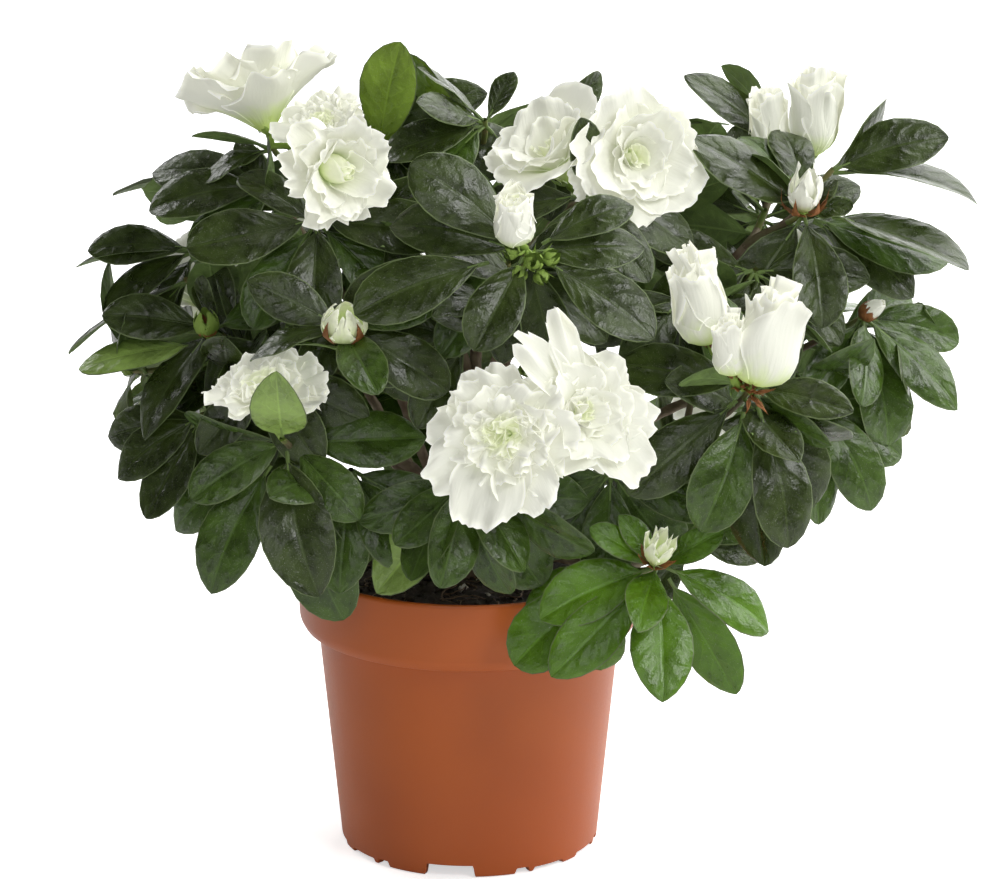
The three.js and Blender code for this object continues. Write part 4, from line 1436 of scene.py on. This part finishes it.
def build_wood():
    """The stem and the boughs with their bark, each run on into its mass."""
    sheets = Sheets()
    line, radii = limb("stem")
    line = np.concatenate([line[:1] - [0, 0, 3.5], line, line[-1:] + unit(line[-1] - line[-2]) * 3])
    radii = np.concatenate([[radii[0] + 2.2], radii, [radii[-1] * 0.75]])
    radii[1] += 1.3
    sheets.add(*bark(*finely(line, radii, 0.8), 26, "stem"), 0)
    boughs = nodes_named("bough_")
    for name in boughs:
        line, radii = limb(name)
        back = line[0] - unit(line[1] - line[0]) * (radii[0] + 2)
        on = line[-1] + unit(line[-1] - line[-2]) * 10
        line = np.concatenate([[back], line, [on]])
        radii = np.concatenate([[radii[0] * 1.15], radii, [radii[-1] * 0.9]])
        sheets.add(*bark(*finely(line, radii, 0.9), 14, name), 0)
    brown = grained_material("bark", (0.13, 0.085, 0.055), (0.21, 0.16, 0.11), 1500, 180, 0.0003, 0.8)
    return sheets.build("stem_and_boughs", [brown], "bark", "stem", *boughs)


TWIG_SIDES = 7


def build_twigs():
    """The twigs, brown at their foot and green at their tip."""
    sheets = Sheets()
    for shoot in shoots():
        line, radii = finely(shoot["twig"], np.linspace(1.35, 0.95, 13), 2.0)
        green = np.repeat(np.arange(len(line) - 1) > len(line) - 8, TWIG_SIDES).astype(int)
        sheets.add(*bark(line, radii, TWIG_SIDES, shoot["name"]), green)
    brown = grained_material("twig_bark", (0.12, 0.08, 0.05), (0.16, 0.14, 0.07), 1500, 150, 0.0002, 0.7)
    green = grained_material("green_twig", (0.13, 0.2, 0.04), (0.2, 0.16, 0.06), 1500, 150, 0.0001, 0.6)
    return sheets.build("twigs", [brown, green], "bark")


# ---- Operators ----


class AZALEA_OT_pot(bpy.types.Operator):
    """Make the nursery pot"""

    bl_idname = "azalea.pot"
    bl_label = "Pot"

    def execute(self, context):
        build_pot(context.scene.azalea_pot)
        return {"FINISHED"}


class AZALEA_OT_peat(bpy.types.Operator):
    """Make the peat with its crumbs and fine roots"""

    bl_idname = "azalea.peat"
    bl_label = "Peat"

    def execute(self, context):
        build_peat(context.scene.azalea_pot)
        return {"FINISHED"}


class AZALEA_OT_wood(bpy.types.Operator):
    """Make the stem, the boughs and the twigs"""

    bl_idname = "azalea.wood"
    bl_label = "Stem, boughs and twigs"

    def execute(self, context):
        build_wood()
        build_twigs()
        return {"FINISHED"}


class AZALEA_OT_leaves(bpy.types.Operator):
    """Make the leaves, one piece for each mass of foliage"""

    bl_idname = "azalea.leaves"
    bl_label = "Leaves"

    def execute(self, context):
        colours = context.scene.azalea_leaves
        materials = []
        for name in LEAF_FINISHES:
            colour = getattr(colours, name)
            vein = [part * 1.7 + 0.015 for part in colour]
            relief = 0.4 if name in ("rib", "margin") else 1.0
            shade = 0.45 if name in ("deep", "mid") else 0.7
            rough = LEAF_ROUGHNESS.get(name, GLOSSY)
            materials.append(leaf_material(f"leaf_{name}", colour, vein, rough, relief, shade))
        for mass in masses():
            sheets = Sheets()
            for shoot in shoots():
                if shoot["mass"] == mass:
                    rosette(sheets, shoot)
            sheets.build(mass.replace("foliage", "leaves"), materials, "leaf", mass)
        return {"FINISHED"}


class AZALEA_OT_blooms(bpy.types.Operator):
    """Make the blooms and the buds"""

    bl_idname = "azalea.blooms"
    bl_label = "Blooms and buds"

    def execute(self, context):
        settings = context.scene.azalea_blooms
        white, throat, calyx, scale = settings.petal, settings.throat, settings.calyx, settings.scale
        cream = [white[0] * 0.97, white[1], white[2] * 0.84]
        materials = [
            # the two petal finishes glow with painted light; the calyx and the scales have no glow
            petal_material("petal", white, throat, 0.48),
            petal_material("petal_heart", cream, throat, 0.85),
            petal_material("calyx_green", calyx, scaled(calyx, 0.7), 0.5, 0.5, 0),
            petal_material("bud_scale", scale, scaled(scale, 0.6), 0.5, 0.6, 0),
        ]
        front, rest, greens, buds = Sheets(), Sheets(), Sheets(), Sheets()
        for number, (mass, offset, facing, kind, size, *guards) in enumerate(BLOOMS):
            mouth, axis = from_middle(mass, offset), pointing(*facing)
            start = nearest_tip(bloom_foot(mouth, axis, kind, size))
            bloom(front, greens, mouth, axis, kind, size, f"front {number}", start, *guards)
        behind = back_blooms(settings.back_blooms)
        for name, mouth, axis, kind, size in behind:
            start = bloom_foot(mouth, axis, kind, size) - axis * 6
            bloom(rest, greens, mouth, axis, kind, size, name, start)
        for number, (mass, offset, facing, kind, length) in enumerate(BUDS):
            base, axis = from_middle(mass, offset), pointing(*facing)
            bud(buds, base, axis, kind, length, f"front {number}")
            stalk(greens, base, axis, nearest_tip(base), length * 0.1)
        blooming = {name for name, *_ in behind}
        for number, shoot in enumerate(shoots()):
            if not shoot["placed"] and shoot["name"] not in blooming:
                choice = number % len(RULE_BUDS) if shoot["tip"][1] > BUDDING_FROM else 0
                kind, length = RULE_BUDS[choice]
                bud(buds, shoot["tip"] - shoot["axis"], shoot["axis"], kind, length, shoot["name"])
        front.build("petals_front", materials, "petal")
        rest.build("petals_behind", materials, "petal")
        greens.build("calyces_and_stalks", materials, "bud")
        buds.build("buds", materials, "bud")
        return {"FINISHED"}


# The stage, in metres: each lamp with its place, its size and its power, the point that the lamps are aimed
# at, and the point that the camera is aimed at.
LAMPS = {
    "key": ((1.0, -0.95, 1.3), 0.8, 16),
    "above": ((0.75, 0.55, 1.6), 1.0, 14),
    "front": ((-0.3, -1.8, 0.9), 1.0, 6.5),
    "rim_left": ((-1.0, 0.9, 0.9), 0.7, 9),
    "rim_right": ((1.3, 0.2, 0.75), 0.7, 8.5),
    "behind": ((1.1, 2.1, 1.0), 2.2, 48),
}
LAMP_TARGET = Vector((0.01, 0, 0.16))
CAMERA_TARGET = Vector((0.0108, 0, 0.145))
CAMERA_LENS = 186.7
FLOOR_HALF, FLOOR_LEVEL = 9, -0.0002
FLOOR_FADE = (1.0, 3.0)  # the floor's glow grows between these distances
NEAR_GLOW, FAR_GLOW = 0.58, 0.83
SEEN_SKY, SKY_LIGHT = 0.9, 0.09
WHITE = (1, 1, 1, 1)


def aimed(name, data, place, target):
    """A lamp or a camera at a place, aimed at a point."""
    holder = bpy.data.objects.new(name, data)
    holder.location = place
    holder.rotation_euler = (target - place).to_track_quat("-Z", "Y").to_euler()
    bpy.context.scene.collection.objects.link(holder)
    return holder


def seen_by_camera(tree):
    return node(tree, "ShaderNodeLightPath").outputs["Is Camera Ray"]


class AZALEA_OT_stage(bpy.types.Operator):
    """Make the floor, the studio light and the camera"""

    bl_idname = "azalea.stage"
    bl_label = "Stage"

    def execute(self, context):
        scene = context.scene
        settings = scene.azalea_stage
        pale = grained_material("pale_floor", settings.floor, scaled(settings.floor, 0.98),
                                60, 0.6, 0.00002, 0.6)
        tree = pale.node_tree
        shader = tree.nodes["Principled BSDF"]
        shader.inputs["Emission Color"].default_value = WHITE
        place = node(tree, "ShaderNodeTexCoord").outputs["Object"]
        far = node(tree, "ShaderNodeVectorMath", {0: place}, operation="LENGTH").outputs["Value"]
        far_share = ramp(tree, far, *FLOOR_FADE)
        glow = maths(tree, "MULTIPLY_ADD", far_share, FAR_GLOW - NEAR_GLOW, NEAR_GLOW)
        link(tree, shader, Emission_Strength=maths(tree, "MULTIPLY", seen_by_camera(tree), glow))
        sides = ((-FLOOR_HALF, -FLOOR_HALF), (FLOOR_HALF, -FLOOR_HALF),
                 (FLOOR_HALF, FLOOR_HALF), (-FLOOR_HALF, FLOOR_HALF))
        corners = [(*side, FLOOR_LEVEL) for side in sides]
        mesh = bpy.data.meshes.new("floor")
        mesh.from_pydata(corners, [], [[0, 1, 2, 3]])
        mesh.materials.append(pale)
        ground = bpy.data.objects.new("floor", mesh)
        scene.collection.objects.link(ground)

        world = bpy.data.worlds.new("studio")
        world.use_nodes = True
        tree = world.node_tree
        sky = tree.nodes["Background"]
        sky.inputs["Color"].default_value = WHITE
        strength = maths(tree, "MULTIPLY_ADD", seen_by_camera(tree), SEEN_SKY, SKY_LIGHT * settings.light)
        link(tree, sky, Strength=strength)
        scene.world = world
        for name, (place, size, power) in LAMPS.items():
            lamp = bpy.data.lights.new(name, "AREA")
            lamp.shape = "SQUARE"
            lamp.size = size
            lamp.energy = power * settings.light
            aimed(name, lamp, Vector(place), LAMP_TARGET)
        scene.view_settings.view_transform = "Standard"

        camera = bpy.data.cameras.new("camera")
        camera.lens = CAMERA_LENS
        camera.clip_end = 30
        back = Vector((0, -math.cos(settings.rise), math.sin(settings.rise)))
        scene.camera = aimed("camera", camera, CAMERA_TARGET + back * settings.distance, CAMERA_TARGET)
        return {"FINISHED"}


class AZALEA_PT_panel(bpy.types.Panel):
    """The plant's parts and their settings"""

    bl_label = "Potted azalea"
    bl_idname = "AZALEA_PT_panel"
    bl_space_type = "VIEW_3D"
    bl_region_type = "UI"
    bl_category = "Azalea"

    def draw(self, context):
        scene = context.scene
        for group in (scene.azalea_pot, scene.azalea_leaves, scene.azalea_blooms, scene.azalea_stage):
            box = self.layout.box()
            for name in group.__annotations__:
                box.prop(group, name)
        for operator in OPERATORS:
            self.layout.operator(operator.bl_idname)


SETTINGS = {
    "azalea_pot": AzaleaPotSettings,
    "azalea_leaves": AzaleaLeafSettings,
    "azalea_blooms": AzaleaBloomSettings,
    "azalea_stage": AzaleaStageSettings,
}
OPERATORS = (AZALEA_OT_stage, AZALEA_OT_pot, AZALEA_OT_peat,
             AZALEA_OT_wood, AZALEA_OT_leaves, AZALEA_OT_blooms)


def register():
    for name, group in SETTINGS.items():
        bpy.utils.register_class(group)
        setattr(bpy.types.Scene, name, PointerProperty(type=group))
    for operator in OPERATORS:
        bpy.utils.register_class(operator)
    bpy.utils.register_class(AZALEA_PT_panel)


def unregister():
    bpy.utils.unregister_class(AZALEA_PT_panel)
    for operator in reversed(OPERATORS):
        bpy.utils.unregister_class(operator)
    for name, group in SETTINGS.items():
        delattr(bpy.types.Scene, name)
        bpy.utils.unregister_class(group)


def main():
    register()
    bpy.ops.azalea.stage()
    bpy.ops.azalea.pot()
    bpy.ops.azalea.peat()
    bpy.ops.azalea.wood()
    bpy.ops.azalea.leaves()
    bpy.ops.azalea.blooms()
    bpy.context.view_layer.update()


if __name__ == "__main__":
    main()
